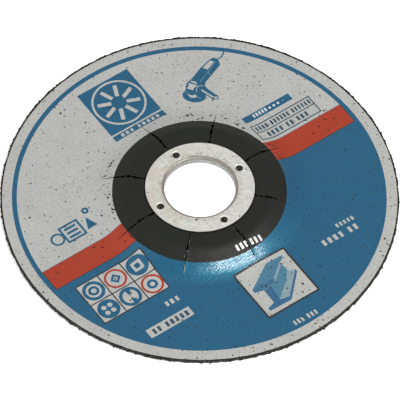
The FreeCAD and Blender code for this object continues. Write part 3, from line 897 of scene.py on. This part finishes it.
# one flat map for the whole sheet: its face fills the square, the rest sits in the corners
uv = label.data.uv_layers.new(name="OFBake")
luv = np.zeros((len(label.data.loops), 2))
k = 0
S = 2 * (LABEL_R + 0.6)
for t in tri:
    for v in t:
        luv[k] = (P[v, 0] / S + 0.5, P[v, 1] / S + 0.5)
        k += 1
for t in tri:
    for v in t[::-1]:
        luv[k] = ((P[v, 0] / S + 0.5) * 0.138 + 0.002, (P[v, 1] / S + 0.5) * 0.138 + 0.002)
        k += 1
cols = 64
for m, q in enumerate(side):
    cx, cy = 0.862 + 0.13 * (m % cols) / cols, 0.002 + 0.13 * (m // cols) / max(1, len(side) // cols + 1)
    w, h = 0.13 / cols * 0.8, 0.13 / max(1, len(side) // cols + 1) * 0.8
    for du, dv in ((0, 0), (w, 0), (w, h), (0, h)):
        luv[k] = (cx + du, cy + dv)
        k += 1
uv.data.foreach_set("uv", luv.ravel())
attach(label, "root")
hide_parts("paper_label")

# ------------------------------------------------------------------ grit disc
rows = []          # (count, [(r, z, nr, nz, rough_amount)]) outline of the turned shape


def stitch(polys, a0, na, b0, nb):
    """Join two rings of points; nb is na, na / 2 or 2 na."""
    if na == nb:
        for i in range(na):
            j = (i + 1) % na
            polys.append((a0 + i, a0 + j, b0 + j, b0 + i))
    elif na == 2 * nb:
        for i in range(nb):
            j = (i + 1) % nb
            p, q, r_ = a0 + 2 * i, a0 + 2 * i + 1, a0 + (2 * i + 2) % na
            polys.append((p, q, b0 + i))
            polys.append((q, r_, b0 + j))
            polys.append((q, b0 + j, b0 + i))
    elif nb == 2 * na:
        for i in range(na):
            j = (i + 1) % na
            p, q, r_ = b0 + 2 * i, b0 + 2 * i + 1, b0 + (2 * i + 2) % nb
            polys.append((a0 + i, q, p))
            polys.append((a0 + i, a0 + j, q))
            polys.append((a0 + j, r_, q))
    else:
        raise ValueError("rings of %d and %d points" % (na, nb))


outline = []       # (ring count, r, z, normal r, normal z, grain size, keep_inside)
NB = BORE + STEEL + 0.02
FINE, MIDN, LOW = 1536, 768, 384
# top, under the sheet, from the bore outwards
outline.append((LOW, NB, 6.28, -1, 0, 0.0))
outline.append((LOW, NB + 0.3, 6.597, 0, 1, 0.0))
for r in (15, 19, 21.8, 22.6, 23.4, 24.2, 25, 26, 27, 28, 29, 30, 31, 32, 33, 34, 35.2, 42, 50):
    outline.append((LOW, r, float(crank(r, THICK / 2)) - 0.003, 0, 1, 0.0))
outline.append((MIDN, 60.4, THICK - 0.003, 0, 1, 0.0))
outline.append((FINE, 61.3, THICK - 0.003, 0, 1, 0.0))
for r, z, g in ((61.68, 1.985, 0.0), (61.86, 1.995, 0.25), (62.0, 2.0, 0.6), (62.15, 2.0, 0.9), (62.3, 1.97, 1.0)):
    outline.append((FINE, r, z, 0.25, 0.97, g))
for a in (25, 55):
    t = math.radians(a)
    outline.append((FINE, 62.32 + 0.18 * math.sin(t), 1.8 + 0.18 * math.cos(t), math.sin(t), math.cos(t), 1.0))
for z in (1.72, 1.52, 1.32, 1.12, 0.92, 0.72, 0.56):
    outline.append((FINE, 62.5, z, 1, 0, 1.0))
for a in (20, 40, 60, 80):
    t = math.radians(a)
    outline.append((FINE, 62.0 + 0.5 * math.cos(t), 0.5 - 0.5 * math.sin(t), math.cos(t), -math.sin(t), 1.0))
r = 61.7
while r > 58.9:
    outline.append((FINE, r, 0.0, 0, -1, 0.8))
    r -= 0.55
while r > CRANK_END + 0.2:
    outline.append((MIDN, r, 0.0, 0, -1, 0.7))
    r -= 0.74
while r > HUB_FLAT:
    z = float(crank(r, -THICK / 2))
    z2 = float(crank(r + 0.02, -THICK / 2))
    s = (z2 - z) / 0.02
    L = math.hypot(1, s)
    outline.append((MIDN, r, z, s / L, -1 / L, 0.6))
    r -= 0.6
while r > NB + 0.5:
    outline.append((LOW, r, 4.6, 0, -1, 0.55))
    r -= 0.5
outline.append((LOW, NB + 0.12, 4.62, -0.5, -0.8, 0.2))
outline.append((LOW, NB, 4.75, -1, 0, 0.0))

co, polys = [], []
starts = []
for cnt, r, z, nr, nz, g in outline:
    starts.append(len(co))
    for i in range(cnt):
        a = TAU * i / cnt
        ca, sa = math.cos(a), math.sin(a)
        p = Vector((r * ca, r * sa, z))
        d = 0.0
        if g > 0:
            q = p * 1.25
            dist, pts = noise.voronoi(q)
            h1 = noise.cell(pts[0] * 7.31)
            dome = max(0.0, 1 - dist[0] / 0.62) * (0.35 + 0.65 * h1)
            q2 = p * 2.7 + Vector((9, 2, 5))
            dist2, pts2 = noise.voronoi(q2)
            dome2 = max(0.0, 1 - dist2[0] / 0.6) * noise.cell(pts2[0] * 5.17)
            lump = noise.noise(p * 0.42)
            if nr > 0.2 and r > 61.5:          # the cut edge: coarse grains stand out of it
                d = 0.52 * dome + 0.20 * dome2 + 0.22 * lump - 0.10
                d *= g
            else:                              # moulded faces: shallow, only ever inwards
                d = -g * (0.17 * (1 - dome) + 0.06 * (1 - dome2)) * (0.75 + 0.25 * lump)
                d = min(d, 0.0)
        # the pressed rim stands a little off the axis that the sheet was laid to
        off = 0.40 * min(1.0, max(0.0, (r - 57.0) / 4.0))
        co.append(((r + nr * d) * ca, (r + nr * d) * sa + off, z + nz * d))
co = np.array(co)
co[:, 2] = np.maximum(co[:, 2], 0.0)
for k in range(len(outline)):
    k2 = (k + 1) % len(outline)
    stitch(polys, starts[k], outline[k][0], starts[k2], outline[k2][0])
polys = [p[::-1] for p in polys]
print("disc faces", len(polys), "triangles", sum(len(p) - 2 for p in polys))


def grit_material():
    t = Tree("bonded_grit")
    v = t.voronoi(1.45)
    sep = t.nt.nodes.new("ShaderNodeSeparateColor")
    t.link(v.outputs["Color"], sep.inputs[0])
    grain = t.ramp(sep.outputs[0], [(0.0, albedo((34, 30, 28))), (0.35, albedo((52, 46, 42))),
                                    (0.62, albedo((74, 62, 52))), (0.82, albedo((58, 54, 52))),
                                    (0.95, albedo((112, 100, 90)))])
    resin = albedo((30, 27, 25))
    gap = t.map(v.outputs["Distance"], 0.25, 0.62, 0.0, 1.0)
    col = t.mix(gap, grain, resin)
    col = t.mix(t.map(t.noise(0.35, 3.0), 0.4, 0.7, 0.0, 0.4), col, albedo((46, 38, 33)))
    v2 = t.voronoi(3.1, vector=t.offset((4, 4, 9)))
    sep2 = t.nt.nodes.new("ShaderNodeSeparateColor")
    t.link(v2.outputs["Color"], sep2.inputs[0])
    glint = t.math("MULTIPLY", t.math("GREATER_THAN", sep2.outputs[0], 0.9),
                   t.math("LESS_THAN", v2.outputs["Distance"], 0.32))
    col = t.mix(t.math("MULTIPLY", glint, 0.6), col, albedo((138, 126, 116)))
    # the disc's top under the sheet is painted near black and without gloss: painted shade that stands for the depth
    # of the slits
    mid = t.map(t.r, 22.5, 34.0, 5.6, 1.0, False)          # half way through the disc
    under_sheet_shade = t.math("MULTIPLY", t.map(t.r, 61.6, 61.2, 0.0, 1.0, False),
                   t.math("GREATER_THAN", t.z, mid))
    under_sheet_shade = t.math("MULTIPLY", under_sheet_shade, t.math("GREATER_THAN", t.r, 16.2))
    col = t.mix(under_sheet_shade, col, albedo((5, 5, 4)))
    # the corner beside the sheet is made the darkest, near black
    corner = t.math("MULTIPLY", t.map(t.z, 1.35, 1.8, 0.0, 0.62), t.map(t.r, 61.4, 61.8, 0.0, 1.0))
    col = t.mix(corner, col, albedo((14, 12, 10)))
    t.set("Base Color", col)
    t.set("Roughness", t.map(sep.outputs[1], 0, 1, 0.5, 0.85, False))
    t.set("Specular IOR Level", t.math("MULTIPLY", t.math("SUBTRACT", 1.0, under_sheet_shade), 0.22))
    h = t.math("ADD", t.math("SUBTRACT", 1.0, v.outputs["Distance"]),
               t.math("MULTIPLY", t.noise(4.0, 3.0), 0.6))
    t.set("Normal", t.bump(h, 0.7, 0.00018))
    return t.mat


body = make_object("grit_disc", co * MM, polys, [grit_material()])
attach(body, "root")
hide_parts("abrasive_body")

# ------------------------------------------------------------------ steel collar and neck
NSEG = 288
seat = THICK + RAISE + PAPER
roof = seat + STEEL
flat_in = BORE + STEEL + RING_BEND            # where the bend meets the flat collar
pins = [(PIN_PITCH * math.cos(math.radians(PIN_START + 90 * k)),
         PIN_PITCH * math.sin(math.radians(PIN_START + 90 * k))) for k in range(4)]
edge_r = 0.12
rv, rf = [], []
rv.extend(Vector(p) for p in disc(RING_OUT - edge_r, NSEG))
rf.append(list(range(NSEG)))
inner0 = len(rv)
rv.extend(Vector(p) for p in disc(flat_in, NSEG))
rf.append(list(range(inner0, inner0 + NSEG)))
PN = 40
for cx, cy in pins:
    b = len(rv)
    rv.extend(Vector(p) for p in disc(1.03, PN, (cx, cy)))
    rf.append(list(range(b, b + PN)))
for cx, cy in pins:                           # rings of points for the drawn-in edge
    for rr in (1.06, 1.10, 1.15, 1.21, 1.28, 1.37, 1.48, 1.62, 1.8, 2.02):
        rv.extend(Vector(p) for p in disc(rr, PN, (cx, cy), start=0.02))
for k, rr in enumerate((12.15, 12.5, 13.0, 13.6, 14.3, 15.0, 15.7, 16.3, 16.8)):
    for p in disc(rr, 180, start=0.01 * k):
        if min(math.hypot(p[0] - c[0], p[1] - c[1]) for c in pins) > 2.1:
            rv.append(Vector(p))
cv, ce, cf, ov, _, of_ = delaunay_2d_cdt(rv, [], rf, 1, 1e-5, True)
Q = np.array([(p.x, p.y) for p in cv], float)
rt = [f for f, src in zip(cf, of_) if src and max(src) == 0]


def collar_z(x, y):
    z = np.full_like(x, roof)
    for cx, cy in pins:
        d = np.hypot(x - cx, y - cy)
        t = np.clip((1.42 - d) / 0.40, 0, 1)
        z = z - 0.30 * t ** 2 + 0.025 * np.exp(-((d - 1.58) / 0.2) ** 2)
    r = np.hypot(x, y)
    a = np.arctan2(y, x)
    # pressed sheet is never quite level
    z = z + 0.012 * np.sin(2 * a + 0.6) * np.clip((r - 12.5) / 3, 0, 1)
    z = z - 0.03 * np.exp(-((r - flat_in) / 0.7) ** 2)
    return z


qz = collar_z(Q[:, 0], Q[:, 1])
n0 = len(Q)
low_z = np.full(n0, seat + 0.004)
co = np.concatenate([np.column_stack([Q, qz]), np.column_stack([Q, low_z])])
for cx, cy in pins:
    d = np.hypot(Q[:, 0] - cx, Q[:, 1] - cy)
    near = d < 1.045
    co[n0:][near, 2] = THICK + RAISE + 0.03     # the drawn edge reaches down to the disc
co = [tuple(c) for c in co]
polys = []
for f in rt:
    a, b, c = (Q[i] for i in f)
    s = (b[0] - a[0]) * (c[1] - a[1]) - (c[0] - a[0]) * (b[1] - a[1])
    f = tuple(f) if s > 0 else tuple(f[::-1])
    if abs(s) < 1e-8:
        continue
    polys.append(f)
used = {}
for f in polys:
    for i in range(3):
        used[(f[i], f[(i + 1) % 3])] = True
bound = [(i, j) for i, j in used if (j, i) not in used]
polys += [tuple(v + n0 for v in f[::-1]) for f in polys]
rad = np.hypot(Q[:, 0], Q[:, 1])
outer_loop, inner_loop, walls = {}, {}, []
for i, j in bound:
    if rad[i] > RING_OUT - 1 and rad[j] > RING_OUT - 1:
        outer_loop[i] = j
    elif rad[i] < flat_in + 0.01 and rad[j] < flat_in + 0.01:
        inner_loop[i] = j
    else:
        walls.append((i, j))
polys += [(j, i, i + n0, j + n0) for i, j in walls]      # small holes


def chain(d):
    s = next(iter(d))
    out = [s]
    while d[out[-1]] != s:
        out.append(d[out[-1]])
    return out


# outer edge: rounded above, square below
loop = chain(outer_loop)
prev = loop
for a in (22.5, 45, 67.5, 90):
    t = math.radians(a)
    ring = []
    for i in loop:
        ang = math.atan2(Q[i, 1], Q[i, 0])
        rr = RING_OUT - edge_r + edge_r * math.sin(t)
        ring.append(len(co))
        co.append((rr * math.cos(ang), rr * math.sin(ang), qz[i] - edge_r + edge_r * math.cos(t)))
    for m in range(len(loop)):
        k = (m + 1) % len(loop)
        polys.append((prev[k], prev[m], ring[m], ring[k]))
    prev = ring
last = []
for i in loop:
    ang = math.atan2(Q[i, 1], Q[i, 0])
    last.append(len(co))
    co.append((RING_OUT * math.cos(ang), RING_OUT * math.sin(ang), seat + 0.004))
for m in range(len(loop)):
    k = (m + 1) % len(loop)
    polys.append((prev[k], prev[m], last[m], last[k]))
    polys.append((last[k], last[m], loop[m] + n0, loop[k] + n0))
# inner bend, neck wall, neck end, and back up outside
loop = chain(inner_loop)
prof = []
cx, cz = flat_in, seat - RING_BEND
for a in range(12, 91, 13):
    t = math.radians(a)
    prof.append((cx - (STEEL + RING_BEND) * math.sin(t), cz + (STEEL + RING_BEND) * math.cos(t)))
prof += [(BORE, cz - 0.05), (BORE, cz - 0.5), (BORE + 0.0, cz - 1.1), (BORE, RAISE + 0.12),
         (BORE + 0.05, RAISE + 0.02), (BORE + 0.12, RAISE), (BORE + STEEL - 0.08, RAISE),
         (BORE + STEEL, RAISE + 0.06), (BORE + STEEL, cz)]
for a in (60, 30):
    t = math.radians(a)
    prof.append((cx - RING_BEND * math.sin(t), cz + RING_BEND * math.cos(t)))
prev = loop
for r_, z_ in prof:
    ring = []
    for i in loop:
        ang = math.atan2(Q[i, 1], Q[i, 0])
        ring.append(len(co))
        co.append((r_ * math.cos(ang), r_ * math.sin(ang), z_))
    for m in range(len(loop)):
        k = (m + 1) % len(loop)
        polys.append((prev[k], prev[m], ring[m], ring[k]))
    prev = ring
for m in range(len(loop)):
    k = (m + 1) % len(loop)
    polys.append((prev[k], prev[m], loop[m] + n0, loop[k] + n0))


def steel_material():
    t = Tree("pressed_steel")
    base = (0.712, 0.712, 0.676)
    fine = t.noise(1.7, 4.0, 0.68)
    mid = t.noise(0.75, 3.0, 0.6, t.offset((1, 6, 2)))
    broad = t.noise(0.26, 3.0, 0.55, t.offset((2, 8, 4)))
    both = t.math("ADD", t.math("MULTIPLY", fine, 0.55), t.math("MULTIPLY", mid, 0.45))
    col = t.ramp(both, [(0.36, tuple(x * 0.76 for x in base)), (0.5, base),
                        (0.63, tuple(min(x * 1.13, 0.97) for x in base))])
    # warm tarnish in soft patches, more of it on the far left
    left = t.map(t.x, 6.0, -15.0, 0.15, 1.0)
    warm = t.math("MULTIPLY", t.map(broad, 0.36, 0.62, 0.0, 1.0), left)
    col = t.mix(t.math("MULTIPLY", warm, 0.75), col, (0.66, 0.61, 0.515))
    # grime gathered along the bend
    near = t.map(t.r, 14.4, 11.9, 0.0, 1.0)
    patch = t.map(t.noise(0.75, 4.0, 0.65, t.offset((7, 2, 8))), 0.42, 0.62, 0.08, 1.0)
    away = t.map(t.y, -9.0, 9.0, 0.55, 1.0)
    col = t.mix(t.math("MULTIPLY", t.math("MULTIPLY", near, away), t.math("MULTIPLY", patch, 0.8)), col,
                (0.42, 0.36, 0.285))
    top = t.map(t.z, 6.86, 6.95, 0.0, 1.0, False)
    line = t.map(t.math("ABSOLUTE", t.math("SUBTRACT", t.r, 11.93)), 0.20, 0.04, 0.0, 1.0)
    worn = t.map(t.noise(0.6, 2.0, 0.5, t.offset((4, 1, 9))), 0.34, 0.58, 0.45, 1.0)
    col = t.mix(t.math("MULTIPLY", t.math("MULTIPLY", line, worn), t.math("MULTIPLY", top, 0.85)),
                col, (0.20, 0.165, 0.13))
    # painted shade over the bend, left lighter along one short arc as a painted highlight
    bend = t.math("MULTIPLY", t.map(t.r, 12.0, 11.75, 0.0, 1.0), t.map(t.z, 6.55, 6.7, 0.0, 1.0))
    turn = t.math("ARCTAN2", t.y, t.x)
    painted_highlight_arc = t.map(t.math("ABSOLUTE", t.math("SUBTRACT", turn, 2.3)), 0.50, 0.25, 0.0, 1.0)
    painted_highlight_arc = t.math("MULTIPLY", painted_highlight_arc, t.map(t.r, 11.55, 11.65, 0.0, 1.0))
    col = t.mix(t.math("MULTIPLY", bend, t.math("SUBTRACT", 0.88, t.math("MULTIPLY", painted_highlight_arc, 0.75))),
                col, (0.27, 0.245, 0.215))
    # tiny dark pits
    v = t.voronoi(0.7, vector=t.offset((3, 2, 0), (1, 1, 0)))
    sep = t.nt.nodes.new("ShaderNodeSeparateColor")
    t.link(v.outputs["Color"], sep.inputs[0])
    pit = t.math("LESS_THAN", v.outputs["Distance"],
                 t.math("MULTIPLY", t.map(sep.outputs[0], 0.80, 1.0, 0.0, 1.0, False), 0.13))
    col = t.mix(t.math("MULTIPLY", pit, 0.7), col, (0.16, 0.13, 0.10))
    # the larger nicks that the collar shows
    for x, y, size, sx in ((-9.25, 11.57, .26, 1), (10.22, 12.12, .25, 1), (14.30, 7.20, .27, 1),
                           (14.51, -3.25, .2, 1), (12.50, -10.82, .25, 1), (-0.89, -12.57, .30, 2.0),
                           (-4.26, -12.44, .17, 1), (-7.76, -13.38, .22, 1), (-16.16, -2.57, .22, 1),
                           (1.67, -12.88, .18, 1)):
        at = t.nt.nodes.new("ShaderNodeMapping")
        at.vector_type = "TEXTURE"
        at.inputs["Location"].default_value = (x, y, 7.07)
        at.inputs["Rotation"].default_value = (0, 0, math.radians(42))
        at.inputs["Scale"].default_value = (size * sx, size, 0.5)
        t.link(t.mm, at.inputs["Vector"])
        length = t.nt.nodes.new("ShaderNodeVectorMath")
        length.operation = "LENGTH"
        t.link(at.outputs[0], length.inputs[0])
        col = t.mix(t.map(length.outputs["Value"], 1.25, 0.6, 0.0, 0.9), col, (0.035, 0.03, 0.022))
    # painted shade: the walls and lips of the four holes are darkened near black
    for k in range(4):
        a = math.radians(PIN_START + 90 * k)
        at = t.nt.nodes.new("ShaderNodeVectorMath")
        at.operation = "DISTANCE"
        flat = t.nt.nodes.new("ShaderNodeCombineXYZ")
        t.link(t.x, flat.inputs[0])
        t.link(t.y, flat.inputs[1])
        at.inputs[1].default_value = (PIN_PITCH * math.cos(a), PIN_PITCH * math.sin(a), 0)
        t.link(flat.outputs[0], at.inputs[0])
        col = t.mix(t.map(at.outputs["Value"], 1.17, 1.09, 0.0, 0.94), col, (0.035, 0.028, 0.018))
    # the collar's outer edge is darkened: partly dirt, partly painted shade on its rounded rim
    col = t.mix(t.map(t.r, 17.06, 17.17, 0.0, 0.93), col, (0.035, 0.028, 0.018))
    # the neck: drawn smooth, greyer, with fine slanting tool marks and a darker lower lip
    neck = t.map(t.z, 6.80, 6.62, 0.0, 1.0)
    around = t.math("MULTIPLY", t.math("ARCTAN2", t.y, t.x), 11.1)
    comb = t.nt.nodes.new("ShaderNodeCombineXYZ")
    t.link(t.math("ADD", around, t.math("MULTIPLY", t.z, 0.8)), comb.inputs[0])
    t.link(t.math("MULTIPLY", t.z, 0.35), comb.inputs[1])
    brush = t.noise(1.9, 3.0, 0.6, comb.outputs[0])
    wall = t.ramp(brush, [(0.3, (0.17, 0.17, 0.165)), (0.5, (0.28, 0.28, 0.27)), (0.7, (0.46, 0.46, 0.44))])
    wall = t.mix(t.map(t.z, 5.25, 4.75, 0.0, 0.7), wall, (0.09, 0.09, 0.09))
    wall = t.mix(t.map(t.math("ABSOLUTE", t.math("SUBTRACT", t.z, 6.28)), 0.16, 0.03, 0.0, 0.4), wall,
                 (0.12, 0.11, 0.10))
    col = t.mix(neck, col, wall)
    t.set("Base Color", col)
    t.set("Metallic", 0.92)
    t.set("Roughness", t.map(fine, 0.3, 0.7, 0.50, 0.64))
    h = t.math("ADD", t.noise(0.8, 2.0), t.math("MULTIPLY", fine, 0.5))
    t.set("Normal", t.bump(h, 0.35, 0.00012))
    return t.mat


ring = make_object("steel_collar", np.array(co) * MM, polys, [steel_material()])
try:
    ring.data.set_sharp_from_angle(angle=math.radians(50))
except AttributeError:
    pass
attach(ring, "root")
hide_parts("centre_ring")
print("collar faces", len(polys))

# ------------------------------------------------------------------ floor, light, camera
bpy.ops.mesh.primitive_plane_add(size=6.0, location=(0, 0, -0.00003))
floor = bpy.context.object
floor.name = "floor"
ft = Tree("floor_with_painted_light")
ft.set("Base Color", (0.9, 0.9, 0.9))
ft.set("Roughness", 0.9)
ft.set("Specular IOR Level", 0.1)
# the floor glows, most strongly under the hub: painted light that washes out the shade inside the bore
ft.set("Emission Color", (1.0, 1.0, 1.0))
ft.set("Emission Strength", ft.map(ft.r, 16.0, 34.0, 0.95, 0.36))
floor.data.materials.append(ft.mat)

world = bpy.data.worlds.new("studio")
bpy.context.scene.world = world
world.use_nodes = True
bg = world.node_tree.nodes["Background"]
bg.inputs[0].default_value = (1, 1, 1, 1)
# a white tent, brighter on the near left side than behind the wheel
wn = world.node_tree.nodes
where = wn.new("ShaderNodeTexCoord")
side_on = wn.new("ShaderNodeVectorMath")
side_on.operation = "DOT_PRODUCT"
side_on.inputs[1].default_value = Vector((-0.62, -0.75, 0.0)).normalized()
level = wn.new("ShaderNodeMath")
level.operation = "MULTIPLY_ADD"
level.inputs[1].default_value = 0.42
level.inputs[2].default_value = 0.80
world.node_tree.links.new(where.outputs["Generated"], side_on.inputs[0])
world.node_tree.links.new(side_on.outputs["Value"], level.inputs[0])
# and dimmer high up in front, between the lamps
patch = wn.new("ShaderNodeVectorMath")
patch.operation = "DOT_PRODUCT"
patch.inputs[1].default_value = (-0.131, -0.280, 0.951)
dim = wn.new("ShaderNodeMapRange")
dim.interpolation_type = "SMOOTHSTEP"
for k, v in (("From Min", 0.90), ("From Max", 0.98), ("To Min", 1.0), ("To Max", 0.3)):
    dim.inputs[k].default_value = v
both = wn.new("ShaderNodeMath")
both.operation = "MULTIPLY"
world.node_tree.links.new(where.outputs["Generated"], patch.inputs[0])
world.node_tree.links.new(patch.outputs["Value"], dim.inputs["Value"])
world.node_tree.links.new(level.outputs[0], both.inputs[0])
world.node_tree.links.new(dim.outputs[0], both.inputs[1])
world.node_tree.links.new(both.outputs[0], bg.inputs[1])


def area(name, az, el, dist, w, h, radiance, target=(0, 0, 0.004), shape="RECTANGLE", along=None):
    a, e_ = math.radians(az), math.radians(el)
    d = Vector((math.cos(a) * math.cos(e_), math.sin(a) * math.cos(e_), math.sin(e_)))
    light = bpy.data.lights.new(name, "AREA")
    light.shape = shape
    light.size, light.size_y = w, h
    light.energy = radiance * math.pi * w * h * (1 if shape == "RECTANGLE" else math.pi / 4)
    ob = bpy.data.objects.new(name, light)
    ob.location = Vector(target) + d * dist
    ob.rotation_mode = "QUATERNION"
    ob.rotation_quaternion = d.to_track_quat("Z", "Y")
    if along is not None:
        x = Vector(along)
        x = (x - d * x.dot(d)).normalized()
        y = d.cross(x)
        ob.rotation_quaternion = Matrix((x, y, d)).transposed().to_quaternion()
    bpy.context.scene.collection.objects.link(ob)
    return ob


ALONG = (0.55, 0.37, -0.17)
area("key", -28.0, 62.7, 1.2, 0.64, 0.072, 66.0, along=ALONG)
area("key_end", -68, 67.6, 1.2, 0.24, 0.08, 9.0, along=(1, 0.1, 0))

PHI, ROLL, DIST = math.radians(54.3), math.radians(1.3), 2.0
fwd = Vector((0, math.cos(PHI), -math.sin(PHI)))
right = Vector((1, 0, 0))
up = Vector((0, math.sin(PHI), math.cos(PHI)))
img_x = right * math.cos(ROLL) + up * math.sin(ROLL)
img_up = up * math.cos(ROLL) - right * math.sin(ROLL)
PX = 3.194
aim = Vector((0, 0, (THICK + PAPER) * MM)) + img_x * (0.2 / PX * MM) - img_up * (3.85 / PX * MM)
cam_data = bpy.data.cameras.new("view")
cam = bpy.data.objects.new("view", cam_data)
bpy.context.scene.collection.objects.link(cam)
cam_data.sensor_width = 36.0
cam_data.sensor_fit = "HORIZONTAL"
cam_data.lens = PX * DIST * 1000 / 400 * 36.0
cam_data.clip_start, cam_data.clip_end = 0.05, 50
cam.matrix_world = Matrix((
    (img_x.x, img_up.x, -fwd.x, 0), (img_x.y, img_up.y, -fwd.y, 0),
    (img_x.z, img_up.z, -fwd.z, 0), (0, 0, 0, 1)))
cam.location = aim - fwd * DIST
bpy.context.scene.camera = cam
bpy.context.scene.view_settings.view_transform = "Standard"
